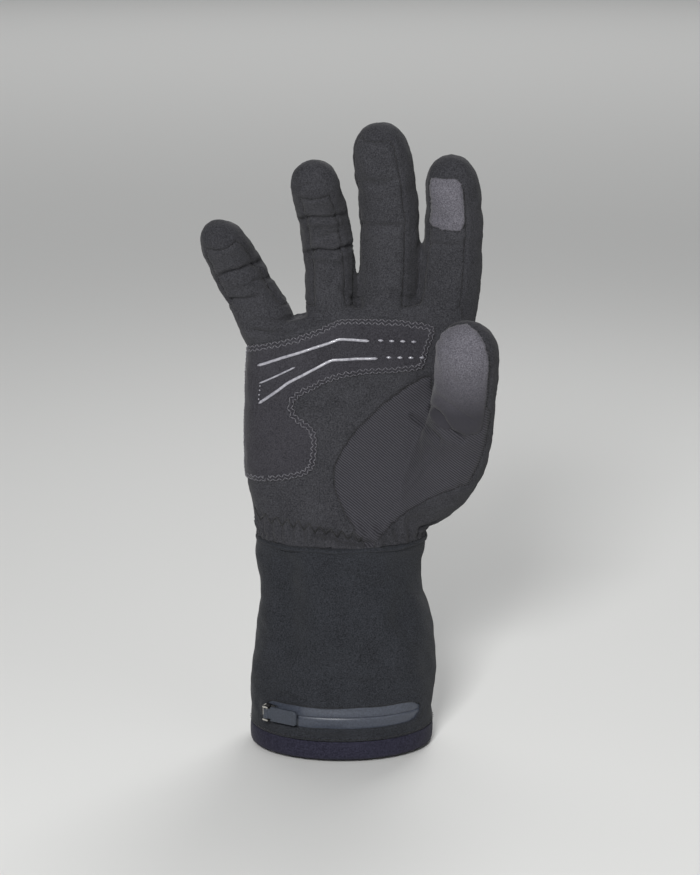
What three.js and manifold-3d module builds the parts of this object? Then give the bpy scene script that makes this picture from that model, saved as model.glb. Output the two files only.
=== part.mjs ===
// Heated glove for the right hand: palm towards -Y, thumb towards +X, fingers towards +Z.
// The origin is the centre of the cuff's open end. All lengths are in millimetres.
import * as THREE from "three";
import { mergeVertices } from "three/addons/utils/BufferGeometryUtils.js";
import Module from "manifold-3d";

const wasm = await Module();
wasm.setup();

// Cuff and hem.
const CUFF_HEIGHT = 100;
const CUFF_WIDTH = 86;
const CUFF_DEPTH = 64;
const CUFF_WALL = 2.2;
const HEM_HEIGHT = 8.6;
const HEM_WALL = 2.8;

// Hand.
const PALM_LENGTH = 112;
const PALM_WIDTH = 96;
const PALM_DEPTH = 40;
const HAND_WALL = 1.7;
const GATHERS = 12;
const GATHER_DEPTH = 1.1;

// Finger stalls: length from the knuckle to the tip, and width of the stall.
const LITTLE_LENGTH = 69;
const LITTLE_WIDTH = 23;
const RING_LENGTH = 90;
const RING_WIDTH = 23;
const MIDDLE_LENGTH = 98;
const MIDDLE_WIDTH = 27;
const INDEX_LENGTH = 98;
const INDEX_WIDTH = 27;
const THUMB_LENGTH = 105;
const THUMB_WIDTH = 28;
const STALL_DEPTH_SHARE = 0.9;

// What is sewn or bonded on.
const PATCH_THICKNESS = 1.0;
const GRIP_THICKNESS = 0.5;
const GRIP_WIDTH = 1.3;
const PAD_THICKNESS = 0.7;

// Zip across the front of the cuff.
const ZIP_LENGTH = 72;
const ZIP_WIDTH = 10;
const ZIP_ABOVE_HEM = 20;
const ZIP_RECESS = 0.5;
const TAPE_THICKNESS = 1.2;
const SLIDER_LENGTH = 8;
const SLIDER_HEIGHT = 7;
const SLIDER_THICKNESS = 1.5;
const SLIDER_ACROSS = -0.76;
const LUG_THICKNESS = 0.8;
const PIN_RADIUS = 0.6;
const PULL_LENGTH = 16;
const PULL_HEIGHT = 7;
const PULL_THICKNESS = 1.4;
const BARREL_WALL = 0.6;
const PULL_TILT = 10;

// Clearances: between panels that are sewn edge to edge, and round the pull's pin.
const GAP = 0.3;
const PIN_CLEARANCE = 0.35;

// Facets round a section, outside and inside.
const CUFF_SIDES = 40;
const OUTSIDE = { palm: 36, stall: 14, folds: true };
const INSIDE = { palm: 22, stall: 10, folds: false };

// Cuff sections, as shares: at of its height, width and shift of its width, depth of its depth.
const CUFF_SECTIONS = [
  { at: 0.0, width: 1.0, shift: -0.005, depth: 1.0 },
  { at: 0.13, width: 1.002, shift: -0.002, depth: 0.99 },
  { at: 0.27, width: 1.004, shift: 0.005, depth: 0.98 },
  { at: 0.46, width: 0.991, shift: 0.014, depth: 0.95 },
  { at: 0.6, width: 0.945, shift: 0.01, depth: 0.92 },
  { at: 0.74, width: 0.885, shift: -0.008, depth: 0.89 },
  { at: 0.87, width: 0.892, shift: -0.012, depth: 0.865 },
  { at: 1.0, width: 0.915, shift: -0.004, depth: 0.85 },
];

// Palm sections, as shares: at of its length, width and shift of its width, depth of its depth. Square is
// the section's squareness, 2 for an ellipse.
const PALM_SECTIONS = [
  { at: 0.0, width: 0.82, shift: -0.004, depth: 1.34, square: 2.1 },
  { at: 0.025, width: 0.835, shift: -0.002, depth: 1.28, square: 2.2 },
  { at: 0.06, width: 0.845, shift: 0.006, depth: 1.15, square: 2.3 },
  { at: 0.125, width: 0.9, shift: 0.019, depth: 1.04, square: 2.35 },
  { at: 0.21, width: 0.955, shift: 0.027, depth: 1.0, square: 2.4 },
  { at: 0.39, width: 0.987, shift: 0.033, depth: 0.95, square: 2.5 },
  { at: 0.57, width: 0.998, shift: 0.045, depth: 0.88, square: 2.6 },
  { at: 0.77, width: 1.02, shift: 0.065, depth: 0.82, square: 2.8 },
  { at: 0.88, width: 1.025, shift: 0.082, depth: 0.77, square: 3.0 },
  { at: 0.96, width: 0.98, shift: 0.09, depth: 0.67, square: 3.0 },
  { at: 1.0, width: 0.9, shift: 0.09, depth: 0.48, square: 3.0 },
];

// How those sections are bent: at and fall are shares of the palm's length, hollow and heel of its depth,
// and gather of the gathers' depth. Hollow is how far the palm sinks in, heel how far it swells under the
// thumb, and fall how far the little finger's end drops.
const PALM_SHAPING = [
  { at: 0.0, hollow: 0.0, heel: 0.0, fall: 0.0, gather: 0.0 },
  { at: 0.025, hollow: 0.0, heel: 0.02, fall: 0.0, gather: 0.6 },
  { at: 0.06, hollow: 0.0, heel: 0.04, fall: 0.0, gather: 1.0 },
  { at: 0.125, hollow: 0.02, heel: 0.1, fall: 0.0, gather: 0.1 },
  { at: 0.21, hollow: 0.07, heel: 0.16, fall: 0.0, gather: 0.0 },
  { at: 0.39, hollow: 0.12, heel: 0.16, fall: 0.0, gather: 0.0 },
  { at: 0.57, hollow: 0.11, heel: 0.06, fall: 0.0, gather: 0.0 },
  { at: 0.77, hollow: 0.04, heel: 0.0, fall: 0.02, gather: 0.0 },
  { at: 0.88, hollow: 0.0, heel: 0.0, fall: 0.07, gather: 0.0 },
  { at: 0.96, hollow: 0.0, heel: 0.0, fall: 0.11, gather: 0.0 },
  { at: 1.0, hollow: 0.0, heel: 0.0, fall: 0.13, gather: 0.0 },
];

// Stalls. Root is the knuckle's place, as shares of the palm's width and length. Path rows are shares of
// the stall's length: up, to the thumb's side, and forward out of the palm. Girth rows give the width at a
// share of the way along. Turn swings the pad towards the little finger. The front panel spans front degrees
// each way and ends at tipSeam. Folds lie at the joints.
const STALLS = [
  {
    name: "little",
    length: LITTLE_LENGTH,
    width: LITTLE_WIDTH,
    root: { side: -0.323, up: 0.785 },
    turn: 0,
    front: 55,
    tipSeam: 0.9,
    folds: [0.42, 0.66],
    path: [
      { up: 0.0, side: 0.0, forward: 0.0 },
      { up: 0.2, side: -0.06, forward: 0.02 },
      { up: 0.45, side: -0.185, forward: 0.08 },
      { up: 0.64, side: -0.27, forward: 0.19 },
      { up: 0.78, side: -0.325, forward: 0.32 },
      { up: 0.855, side: -0.34, forward: 0.41 },
    ],
    girth: [
      { at: 0.0, width: 0.95 },
      { at: 0.15, width: 1.1 },
      { at: 0.35, width: 1.04 },
      { at: 0.7, width: 0.98 },
      { at: 1.0, width: 0.82 },
    ],
  },
  {
    name: "ring",
    length: RING_LENGTH,
    width: RING_WIDTH,
    root: { side: -0.048, up: 0.82 },
    turn: 4,
    front: 40,
    tipSeam: 0.87,
    folds: [0.44, 0.64],
    path: [
      { up: 0.0, side: 0.0, forward: 0.0 },
      { up: 0.2, side: -0.004, forward: 0.02 },
      { up: 0.4, side: -0.01, forward: 0.065 },
      { up: 0.61, side: -0.034, forward: 0.155 },
      { up: 0.8, side: -0.075, forward: 0.285 },
      { up: 0.925, side: -0.085, forward: 0.38 },
    ],
    girth: [
      { at: 0.0, width: 1.0 },
      { at: 0.6, width: 1.0 },
      { at: 1.0, width: 0.93 },
    ],
  },
  {
    name: "middle",
    length: MIDDLE_LENGTH,
    width: MIDDLE_WIDTH,
    root: { side: 0.214, up: 0.84 },
    turn: 28,
    front: 57,
    tipSeam: 0.95,
    folds: [0.51, 0.69],
    path: [
      { up: 0.0, side: 0.0, forward: 0.0 },
      { up: 0.2, side: 0.003, forward: 0.02 },
      { up: 0.48, side: 0.01, forward: 0.055 },
      { up: 0.7, side: -0.007, forward: 0.1 },
      { up: 0.86, side: -0.031, forward: 0.155 },
      { up: 0.99, side: -0.045, forward: 0.2 },
    ],
    girth: [
      { at: 0.0, width: 0.98 },
      { at: 0.5, width: 1.01 },
      { at: 0.75, width: 1.0 },
      { at: 1.0, width: 0.92 },
    ],
  },
  {
    name: "index",
    length: INDEX_LENGTH,
    width: INDEX_WIDTH,
    root: { side: 0.43, up: 0.72 },
    turn: 20,
    front: 42,
    tipSeam: 0.9,
    folds: [0.58, 0.74],
    path: [
      { up: 0.0, side: 0.0, forward: 0.0 },
      { up: 0.24, side: 0.057, forward: 0.02 },
      { up: 0.518, side: 0.082, forward: 0.058 },
      { up: 0.735, side: 0.088, forward: 0.1 },
      { up: 0.892, side: 0.07, forward: 0.153 },
      { up: 0.98, side: 0.058, forward: 0.187 },
    ],
    girth: [
      { at: 0.0, width: 0.9 },
      { at: 0.15, width: 1.02 },
      { at: 0.35, width: 1.05 },
      { at: 0.7, width: 0.97 },
      { at: 1.0, width: 0.86 },
    ],
  },
  {
    name: "thumb",
    length: THUMB_LENGTH,
    width: THUMB_WIDTH,
    root: { side: 0.25, up: 0.105 },
    turn: 31,
    front: 74,
    tipSeam: 0.93,
    folds: [],
    path: [
      { up: 0.0, side: 0.0, forward: 0.04 },
      { up: 0.133, side: 0.152, forward: 0.115 },
      { up: 0.286, side: 0.243, forward: 0.18 },
      { up: 0.51, side: 0.285, forward: 0.286 },
      { up: 0.748, side: 0.297, forward: 0.38 },
      { up: 0.913, side: 0.292, forward: 0.43 },
    ],
    girth: [
      { at: 0.0, width: 0.75 },
      { at: 0.12, width: 1.05 },
      { at: 0.22, width: 1.2 },
      { at: 0.38, width: 1.19 },
      { at: 0.6, width: 1.03 },
      { at: 1.0, width: 1.0 },
    ],
  },
];
const FOLD_PINCH = 0.06;
const FOLD_HALF_WIDTH = 0.045;
const TIP_ROUNDING = 0.52;

// Touch pads: shares of the way along the stall, and degrees each way from the middle of its pad.
const PADS = [
  { name: "index_pad", stall: "index", from: 0.675, to: 0.935, left: 46, right: 40 },
  { name: "thumb_pad", stall: "thumb", from: 0.6, to: 0.92, left: 70, right: 68 },
];

// Outlines on the palm: across runs from -1 at the little finger's edge to 1, up is a share of its length.
const PATCH_OUTLINE = [
  { across: -0.93, up: 0.81 },
  { across: -0.62, up: 0.844 },
  { across: -0.42, up: 0.874 },
  { across: -0.24, up: 0.911 },
  { across: -0.14, up: 0.923 },
  { across: 0.28, up: 0.923 },
  { across: 0.54, up: 0.911 },
  { across: 0.7, up: 0.886 },
  { across: 0.66, up: 0.82 },
  { across: 0.64, up: 0.713 },
  { across: 0.07, up: 0.697 },
  { across: -0.2, up: 0.676 },
  { across: -0.43, up: 0.62 },
  { across: -0.53, up: 0.594 },
  { across: -0.555, up: 0.565 },
  { across: -0.53, up: 0.536 },
  { across: -0.41, up: 0.502 },
  { across: -0.34, up: 0.473 },
  { across: -0.302, up: 0.436 },
  { across: -0.307, up: 0.377 },
  { across: -0.32, up: 0.331 },
  { across: -0.35, up: 0.302 },
  { across: -0.41, up: 0.281 },
  { across: -0.58, up: 0.264 },
  { across: -0.94, up: 0.243 },
];
const GRIP_LINES = [
  {
    name: "grip_upper",
    line: [
      { across: -0.88, up: 0.735 },
      { across: -0.66, up: 0.768 },
      { across: -0.29, up: 0.825 },
      { across: -0.17, up: 0.846 },
      { across: 0.1, up: 0.838 },
    ],
  },
  {
    name: "grip_lower",
    line: [
      { across: -0.86, up: 0.579 },
      { across: -0.61, up: 0.663 },
      { across: -0.43, up: 0.707 },
      { across: -0.22, up: 0.758 },
      { across: 0.2, up: 0.766 },
    ],
  },
  {
    name: "grip_short",
    line: [
      { across: -0.86, up: 0.66 },
      { across: -0.55, up: 0.729 },
    ],
  },
  {
    name: "grip_edge",
    line: [
      { across: -0.87, up: 0.645 },
      { across: -0.88, up: 0.59 },
    ],
  },
];
const GRIP_DASHES = [
  { name: "grip_dash_upper", from: { across: 0.18, up: 0.841 }, to: { across: 0.53, up: 0.833 } },
  { name: "grip_dash_lower", from: { across: 0.28, up: 0.77 }, to: { across: 0.63, up: 0.768 } },
];
const DASHES_IN_ROW = 4;
const DASH_SHARE = 0.45;

// Panel outlines. The gore is the thumb panel's leaf over the heel of the thumb.
const PALM_PANEL_OUTLINE = [
  { across: -1.25, up: -0.1 },
  { across: 0.3, up: -0.1 },
  { across: 0.3, up: 0.03 },
  { across: 0.92, up: 0.5 },
  { across: 0.95, up: 0.97 },
  { across: -0.92, up: 0.97 },
  { across: -0.92, up: 0.62 },
  { across: -1.25, up: 0.46 },
];
const GORE_OUTLINE = [
  { across: 0.3, up: -0.1 },
  { across: 0.3, up: 0.0 },
  { across: 0.055, up: 0.095 },
  { across: -0.08, up: 0.175 },
  { across: -0.14, up: 0.25 },
  { across: -0.145, up: 0.305 },
  { across: -0.1, up: 0.36 },
  { across: 0.0, up: 0.43 },
  { across: 0.134, up: 0.504 },
  { across: 0.26, up: 0.562 },
  { across: 0.42, up: 0.62 },
  { across: 0.63, up: 0.687 },
  { across: 0.86, up: 0.7 },
  { across: 1.27, up: 0.63 },
  { across: 1.28, up: 0.5 },
  { across: 1.24, up: 0.36 },
  { across: 1.1, up: 0.268 },
  { across: 0.85, up: 0.231 },
  { across: 0.7, up: 0.172 },
  { across: 0.487, up: 0.069 },
  { across: 0.34, up: 0.0 },
  { across: 0.34, up: -0.1 },
];

const radians = THREE.MathUtils.degToRad;
const smoothstep = THREE.MathUtils.smoothstep;
const reach = 2 * (PALM_DEPTH + THUMB_LENGTH);

// A smooth reading of one column of a table at a share of its length.
function column(rows, key) {
  const places = rows.map((row) => row.at);
  const values = rows.map((row) => row[key]);
  const curve = new THREE.CubicInterpolant(places, values, 1, new Float32Array(1));
  return (at) => curve.evaluate(THREE.MathUtils.clamp(at, 0, 1))[0];
}

function columns(rows) {
  const keys = Object.keys(rows[0]).filter((key) => key !== "at");
  return Object.fromEntries(keys.map((key) => [key, column(rows, key)]));
}

const cuff = columns(CUFF_SECTIONS);
const palm = { ...columns(PALM_SECTIONS), ...columns(PALM_SHAPING) };

// A closed three.js geometry as a manifold-3d solid.
function solid(geometry) {
  const bare = geometry.clone();
  bare.deleteAttribute("normal");
  bare.deleteAttribute("uv");
  const merged = mergeVertices(bare, 1e-4);
  return new wasm.Manifold(
    new wasm.Mesh({
      numProp: 3,
      vertProperties: new Float32Array(merged.attributes.position.array),
      triVerts: new Uint32Array(merged.index.array),
    }),
  );
}

function joined(solids) {
  return solids.reduce((all, one) => all.add(one));
}

// A solid through rings of points, each counter-clockwise seen from the last ring, with capped ends.
function loft(rings, endPoint = null) {
  const sides = rings[0].length;
  const centre = (ring) => ring.reduce((sum, p) => sum.add(p), new THREE.Vector3()).divideScalar(sides);
  const points = rings.flat().concat([centre(rings[0]), endPoint ?? centre(rings.at(-1))]);
  const bottom = points.length - 2;
  const top = points.length - 1;
  const faces = [];
  for (let i = 0; i < sides; i++) {
    const j = (i + 1) % sides;
    faces.push(bottom, j, i);
    for (let k = 0; k + 1 < rings.length; k++) {
      const low = k * sides;
      const high = low + sides;
      faces.push(low + i, low + j, high + j, low + i, high + j, high + i);
    }
    const last = (rings.length - 1) * sides;
    faces.push(top, last + i, last + j);
  }
  const geometry = new THREE.BufferGeometry().setFromPoints(points);
  geometry.setIndex(faces);
  return solid(geometry);
}

// A point on a rounded oval with squareness 2 for an ellipse and more for a fuller one.
function oval(angle, squareness) {
  const full = (value) => Math.sign(value) * Math.abs(value) ** (2 / squareness);
  return { x: full(Math.cos(angle)), y: full(Math.sin(angle)) };
}

function turns(sides) {
  return Array.from({ length: sides }, (_, i) => (2 * Math.PI * i) / sides);
}

// Cuff: a tube whose sections follow its table, grown by a distance on every side.
const CUFF_SQUARENESS = 2.06;

function cuffHalf(at, grown) {
  return {
    x: (cuff.width(at) * CUFF_WIDTH) / 2 + grown,
    y: (cuff.depth(at) * CUFF_DEPTH) / 2 + grown,
    middle: cuff.shift(at) * CUFF_WIDTH,
  };
}

function cuffSolid(grown, fromHeight, toHeight) {
  const inside = CUFF_SECTIONS.map((row) => row.at * CUFF_HEIGHT).filter(
    (height) => height > fromHeight + 1 && height < toHeight - 1,
  );
  const rings = [fromHeight, ...inside, toHeight].map((height) => {
    const half = cuffHalf(height / CUFF_HEIGHT, grown);
    return turns(CUFF_SIDES).map((angle) => {
      const unit = oval(angle, CUFF_SQUARENESS);
      return new THREE.Vector3(half.middle + half.x * unit.x, half.y * unit.y, height);
    });
  });
  return loft(rings);
}

function cuffTube(outer, inner, fromHeight, toHeight) {
  return cuffSolid(outer, fromHeight, toHeight).subtract(cuffSolid(inner, fromHeight - 1, toHeight + 1));
}

// Palm: the body of the hand from the cuff's seam up to between the fingers.
const PALM_BASE = CUFF_HEIGHT + GAP;

function palmRing(at, grown, sides) {
  const halfWidth = (palm.width(at) * PALM_WIDTH) / 2 + grown;
  const halfDepth = (palm.depth(at) * PALM_DEPTH) / 2 + grown;
  return turns(sides).map((angle) => {
    const unit = oval(angle, palm.square(at));
    const hollow = palm.hollow(at) * (1 - unit.x ** 2) ** 2;
    const heel = palm.heel(at) * ((1 + unit.x) / 2) ** 2;
    const sunk = unit.y < 0 ? (hollow + unit.y * heel) * PALM_DEPTH : 0;
    const fall = palm.fall(at) * PALM_LENGTH * ((1 - unit.x) / 2) ** 2;
    const gather = palm.gather(at) * GATHER_DEPTH * Math.cos(GATHERS * angle);
    return new THREE.Vector3(
      palm.shift(at) * PALM_WIDTH + (halfWidth + gather) * unit.x,
      (halfDepth + gather) * unit.y + sunk,
      PALM_BASE + at * PALM_LENGTH - fall + grown * smoothstep(at, 0.8, 1),
    );
  });
}

function palmSolid(grown, facets, below) {
  const rings = PALM_SECTIONS.map((row) => palmRing(row.at, grown, facets.palm));
  if (below > 0) {
    rings.unshift(rings[0].map((p) => p.clone().setZ(PALM_BASE - below)));
  }
  return loft(rings);
}

// A place in the front view of the palm, as x and z.
function palmPlace({ across, up }) {
  const at = THREE.MathUtils.clamp(up, 0, 1);
  const x = palm.shift(at) * PALM_WIDTH + (across * palm.width(at) * PALM_WIDTH) / 2;
  return new THREE.Vector2(x, PALM_BASE + up * PALM_LENGTH);
}

// Stalls: a curved tube with pinched folds at its joints and a round tip.
function stallCurve(stall) {
  const root = new THREE.Vector3(stall.root.side * PALM_WIDTH, 0, PALM_BASE + stall.root.up * PALM_LENGTH);
  const points = stall.path.map((row) =>
    new THREE.Vector3(row.side, -row.forward, row.up).multiplyScalar(stall.length).add(root),
  );
  return new THREE.CatmullRomCurve3(points, false, "centripetal");
}

for (const stall of STALLS) {
  stall.curve = stallCurve(stall);
  stall.girthAt = column(stall.girth, "width");
  stall.arc = stall.curve.getLength();
  stall.cap = (TIP_ROUNDING * stall.width) / stall.arc;
}

// The stall's own axes at a share of its length: along it, to its side, and out of its pad.
function stallFrame(stall, share) {
  const on = THREE.MathUtils.clamp(share, 0, 1);
  const along = stall.curve.getTangentAt(on);
  const centre = stall.curve.getPointAt(on).addScaledVector(along, (share - on) * stall.arc);
  const front = new THREE.Vector3(0, -1, 0);
  front.addScaledVector(along, -front.dot(along)).normalize();
  front.applyAxisAngle(along, -radians(stall.turn));
  const side = new THREE.Vector3().crossVectors(along, front);
  return { centre, along, front, side };
}

function stallHalfWidth(stall, share) {
  const near = stall.folds.map((fold) => 1 - Math.abs(share - fold) / FOLD_HALF_WIDTH);
  const pinch = FOLD_PINCH * Math.max(0, ...near);
  return (stall.width / 2) * (stall.girthAt(share) - pinch);
}

function stallRing(stall, share, grown, roundness, sides) {
  const { centre, front, side } = stallFrame(stall, share);
  const width = (stallHalfWidth(stall, share) + grown) * roundness;
  const depth = (stallHalfWidth(stall, share) * STALL_DEPTH_SHARE + grown) * roundness;
  return turns(sides).map((angle) =>
    centre
      .clone()
      .addScaledVector(side, Math.cos(angle) * width)
      .addScaledVector(front, -Math.sin(angle) * depth),
  );
}

function stallSolid(stall, grown, facets, from = 0) {
  const capStart = 1 - stall.cap;
  const clear = (share) => stall.folds.every((fold) => Math.abs(share - fold) > 1.5 * FOLD_HALF_WIDTH);
  const folded = stall.folds.flatMap((fold) => [fold - FOLD_HALF_WIDTH, fold, fold + FOLD_HALF_WIDTH]);
  const shares = [0, 0.15, 0.3, 0.42, 0.54, 0.66].filter(clear).concat(facets.folds ? folded : stall.folds);
  const rings = shares
    .sort((one, other) => one - other)
    .filter((share) => share >= from && share < capStart - 0.02)
    .map((share) => stallRing(stall, share, grown, 1, facets.stall));
  const capLength = stall.cap + grown / stall.arc;
  for (const into of [0, 0.45, 0.75, 0.93]) {
    const share = capStart + into * capLength;
    rings.push(stallRing(stall, share, grown, Math.sqrt(1 - into ** 2), facets.stall));
  }
  return loft(rings, stallFrame(stall, capStart + capLength).centre);
}

function handSolid(grown, facets = OUTSIDE, below = 0) {
  const stalls = STALLS.map((stall) => stallSolid(stall, grown, facets));
  return joined([palmSolid(grown, facets, below), ...stalls]);
}

// A layer that lies a distance off the hand's outside, as thick as it is said to be.
function handLayer(off, thickness) {
  return handSolid(off + thickness).subtract(handSolid(off, OUTSIDE, 1));
}

// Cutters. A wedge round a stall takes what lies between two angles from the middle of its pad, and reaches
// a little beyond its face.
const WEDGE_STEPS = 6;
const WEDGE_FACETS = 5;
const WEDGE_FULLNESS = 1.03;

function wedge(stall, { from, to, left, right, beyond }) {
  const rings = [];
  for (let k = 0; k <= WEDGE_STEPS; k++) {
    const share = THREE.MathUtils.lerp(from, to, k / WEDGE_STEPS);
    const { centre, front, side } = stallFrame(stall, share);
    const radius = (stall.width / 2) * stall.girthAt(share) * WEDGE_FULLNESS + beyond;
    const open = Math.sqrt(1 - 0.85 * (k / WEDGE_STEPS) ** 6);
    const ring = [centre];
    for (let i = 0; i <= WEDGE_FACETS; i++) {
      const angle = radians(THREE.MathUtils.lerp(-left, right, i / WEDGE_FACETS)) * open;
      const direction = front.clone().multiplyScalar(Math.cos(angle)).addScaledVector(side, Math.sin(angle));
      ring.push(centre.clone().addScaledVector(direction, radius));
    }
    rings.push(ring);
  }
  return loft(rings);
}

function frontWedge(stall, from, grown) {
  const spread = stall.front + THREE.MathUtils.radToDeg((2 * grown) / stall.width);
  const over = grown / stall.arc;
  return wedge(stall, {
    from: from - over,
    to: stall.tipSeam + over,
    left: spread,
    right: spread,
    beyond: GAP + grown,
  });
}

// An outline moved outwards by a distance; its points run clockwise or counter-clockwise.
function grownOutline(points, by) {
  const outward = THREE.ShapeUtils.area(points) > 0 ? by : -by;
  return points.map((point, i) => {
    const before = points.at(i - 1);
    const after = points[(i + 1) % points.length];
    const first = point.clone().sub(before).normalize();
    const second = after.clone().sub(point).normalize();
    const normal = new THREE.Vector2(first.y + second.y, -first.x - second.x).normalize();
    const stretch = Math.max(0.5, normal.dot(new THREE.Vector2(second.y, -second.x)));
    return point.clone().addScaledVector(normal, outward / stretch);
  });
}

// What stands in front of y = back inside an outline of the front view.
function frontPrism(points, back) {
  const geometry = new THREE.ExtrudeGeometry(new THREE.Shape(points), {
    depth: reach,
    bevelEnabled: false,
  });
  geometry.rotateX(Math.PI / 2);
  geometry.translate(0, back, 0);
  return solid(geometry);
}

function palmPrism(outline, grown, back) {
  return frontPrism(grownOutline(outline.map(palmPlace), grown), back);
}

const stallNamed = (name) => STALLS.find((stall) => stall.name === name);
const thumb = stallNamed("thumb");
const fingers = STALLS.filter((stall) => stall !== thumb);
const WEDGE_START = 0.07;
const THUMB_WEDGE_START = 0.34;

// The thumb stands in front of the palm from here on, free of it.
const THUMB_FREE = 0.54;

function frontCutter(grown) {
  const front = joined([
    palmPrism(PALM_PANEL_OUTLINE, grown, grown),
    ...fingers.map((stall) => frontWedge(stall, WEDGE_START, grown)),
  ]);
  return front.subtract(stallSolid(thumb, GAP, OUTSIDE, THUMB_FREE));
}

// The gore is cut in front of the upright plane through the thumb's own line.
function goreCutter(grown) {
  const low = stallFrame(thumb, 0).centre;
  const high = stallFrame(thumb, THUMB_WEDGE_START).centre;
  const slope = Math.atan2(high.y - low.y, high.x - low.x);
  const slab = new THREE.BoxGeometry(2 * reach, reach, 2 * reach);
  slab.translate(0, grown - reach / 2, 0);
  slab.rotateZ(slope);
  slab.translate(low.x, low.y, low.z);
  return joined([
    palmPrism(GORE_OUTLINE, grown, reach / 2).intersect(solid(slab)),
    frontWedge(thumb, THUMB_WEDGE_START, grown),
  ]);
}

// The largest of the loose bodies that a cut leaves.
function largest(cut) {
  return cut.decompose().reduce((best, one) => (one.volume() > best.volume() ? one : best));
}

// A strip of even width along a line of the front view, with square ends.
function strip(points, width) {
  const left = [];
  const right = [];
  points.forEach((point, i) => {
    const ahead = points[Math.min(i + 1, points.length - 1)].clone().sub(points[Math.max(i - 1, 0)]);
    const across = new THREE.Vector2(-ahead.y, ahead.x).setLength(width / 2);
    left.push(point.clone().add(across));
    right.unshift(point.clone().sub(across));
  });
  return left.concat(right);
}

// Materials.
const knit = new THREE.MeshStandardMaterial({ color: 0x2b2b2f, roughness: 0.92, metalness: 0 });
const goreKnit = new THREE.MeshStandardMaterial({ color: 0x323236, roughness: 0.9, metalness: 0 });
const suede = new THREE.MeshStandardMaterial({ color: 0x29282d, roughness: 0.88, metalness: 0 });
const touchKnit = new THREE.MeshStandardMaterial({ color: 0x55555c, roughness: 0.85, metalness: 0 });
const softshell = new THREE.MeshStandardMaterial({ color: 0x1f2124, roughness: 0.95, metalness: 0 });
const hemFabric = new THREE.MeshStandardMaterial({ color: 0x1d1d2c, roughness: 0.9, metalness: 0 });
const silicone = new THREE.MeshStandardMaterial({ color: 0x8f9096, roughness: 0.3, metalness: 0 });
const coatedTape = new THREE.MeshStandardMaterial({ color: 0x2b3039, roughness: 0.45, metalness: 0 });
const steel = new THREE.MeshStandardMaterial({ color: 0xb9b4aa, roughness: 0.3, metalness: 1 });
const mouldedRubber = new THREE.MeshStandardMaterial({ color: 0x25282f, roughness: 0.5, metalness: 0 });

const glove = new THREE.Group();

function geometryOf(cut) {
  const mesh = cut.getMesh();
  const positions = new Float32Array(mesh.numVert * 3);
  for (let i = 0; i < mesh.numVert; i++) {
    positions.set(mesh.vertProperties.subarray(i * mesh.numProp, i * mesh.numProp + 3), i * 3);
  }
  const geometry = new THREE.BufferGeometry();
  geometry.setAttribute("position", new THREE.BufferAttribute(positions, 3));
  geometry.setIndex(new THREE.BufferAttribute(mesh.triVerts, 1));
  return geometry;
}

function addPiece(name, cut, material, parent = glove) {
  const piece = new THREE.Mesh(geometryOf(largest(cut)), material);
  piece.name = name;
  parent.add(piece);
  return piece;
}

// Hand panels, cut from one hollow hand along its seams.
const hand = handSolid(0).subtract(handSolid(-HAND_WALL, INSIDE, 1));
addPiece("palm_panel", hand.intersect(frontCutter(0)).subtract(goreCutter(GAP)), knit);
addPiece("thumb_panel", hand.intersect(goreCutter(0)), goreKnit);
addPiece("back_panel", hand.subtract(frontCutter(GAP)).subtract(goreCutter(GAP)), knit);

// Palm patch with its printed grip lines.
const patchLayer = handLayer(GAP, PATCH_THICKNESS);
const gripLayer = handLayer(GAP + PATCH_THICKNESS + GAP, GRIP_THICKNESS);
addPiece("palm_patch", patchLayer.intersect(palmPrism(PATCH_OUTLINE, 0, 0)), suede);
for (const { name, line } of GRIP_LINES) {
  const outline = strip(line.map(palmPlace), GRIP_WIDTH);
  addPiece(name, gripLayer.intersect(frontPrism(outline, 0)), silicone);
}
for (const { name, from, to } of GRIP_DASHES) {
  const start = palmPlace(from);
  const end = palmPlace(to);
  for (let i = 0; i < DASHES_IN_ROW; i++) {
    const ends = [i, i + DASH_SHARE].map((step) =>
      start.clone().lerp(end, step / (DASHES_IN_ROW - 1 + DASH_SHARE)),
    );
    addPiece(`${name}_${i + 1}`, gripLayer.intersect(frontPrism(strip(ends, GRIP_WIDTH), 0)), silicone);
  }
}

// Touch pads on the index finger and the thumb.
const padLayer = handLayer(GAP, PAD_THICKNESS);
for (const { name, stall, ...edges } of PADS) {
  const cutter = wedge(stallNamed(stall), { ...edges, beyond: 2 * PAD_THICKNESS + GAP });
  addPiece(name, padLayer.intersect(cutter), touchKnit);
}

// Cuff with the zip's window, and the hem below it.
const zipHeight = ZIP_ABOVE_HEM;
const zipMiddle = cuff.shift(zipHeight / CUFF_HEIGHT) * CUFF_WIDTH;

function zipOutline(inset) {
  const radius = ZIP_WIDTH / 2 - inset;
  const half = ZIP_LENGTH / 2 - inset;
  const shape = new THREE.Shape();
  shape.moveTo(-half + radius, -radius);
  shape.lineTo(half - radius, -radius);
  shape.absarc(half - radius, 0, radius, -Math.PI / 2, Math.PI / 2, false);
  shape.lineTo(-half + radius, radius);
  shape.absarc(-half + radius, 0, radius, Math.PI / 2, (3 * Math.PI) / 2, false);
  const points = shape.extractPoints(3).shape.slice(0, -1);
  return points.map((point) => point.add(new THREE.Vector2(zipMiddle, zipHeight)));
}

const cuffWall = cuffTube(0, -CUFF_WALL, HEM_HEIGHT + GAP, CUFF_HEIGHT);
addPiece("cuff", cuffWall.subtract(frontPrism(zipOutline(0), 0)), softshell);
const hemGrown = (HEM_WALL - CUFF_WALL) / 2;
addPiece("cuff_hem", cuffTube(hemGrown, hemGrown - HEM_WALL, 0, HEM_HEIGHT), hemFabric);

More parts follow.
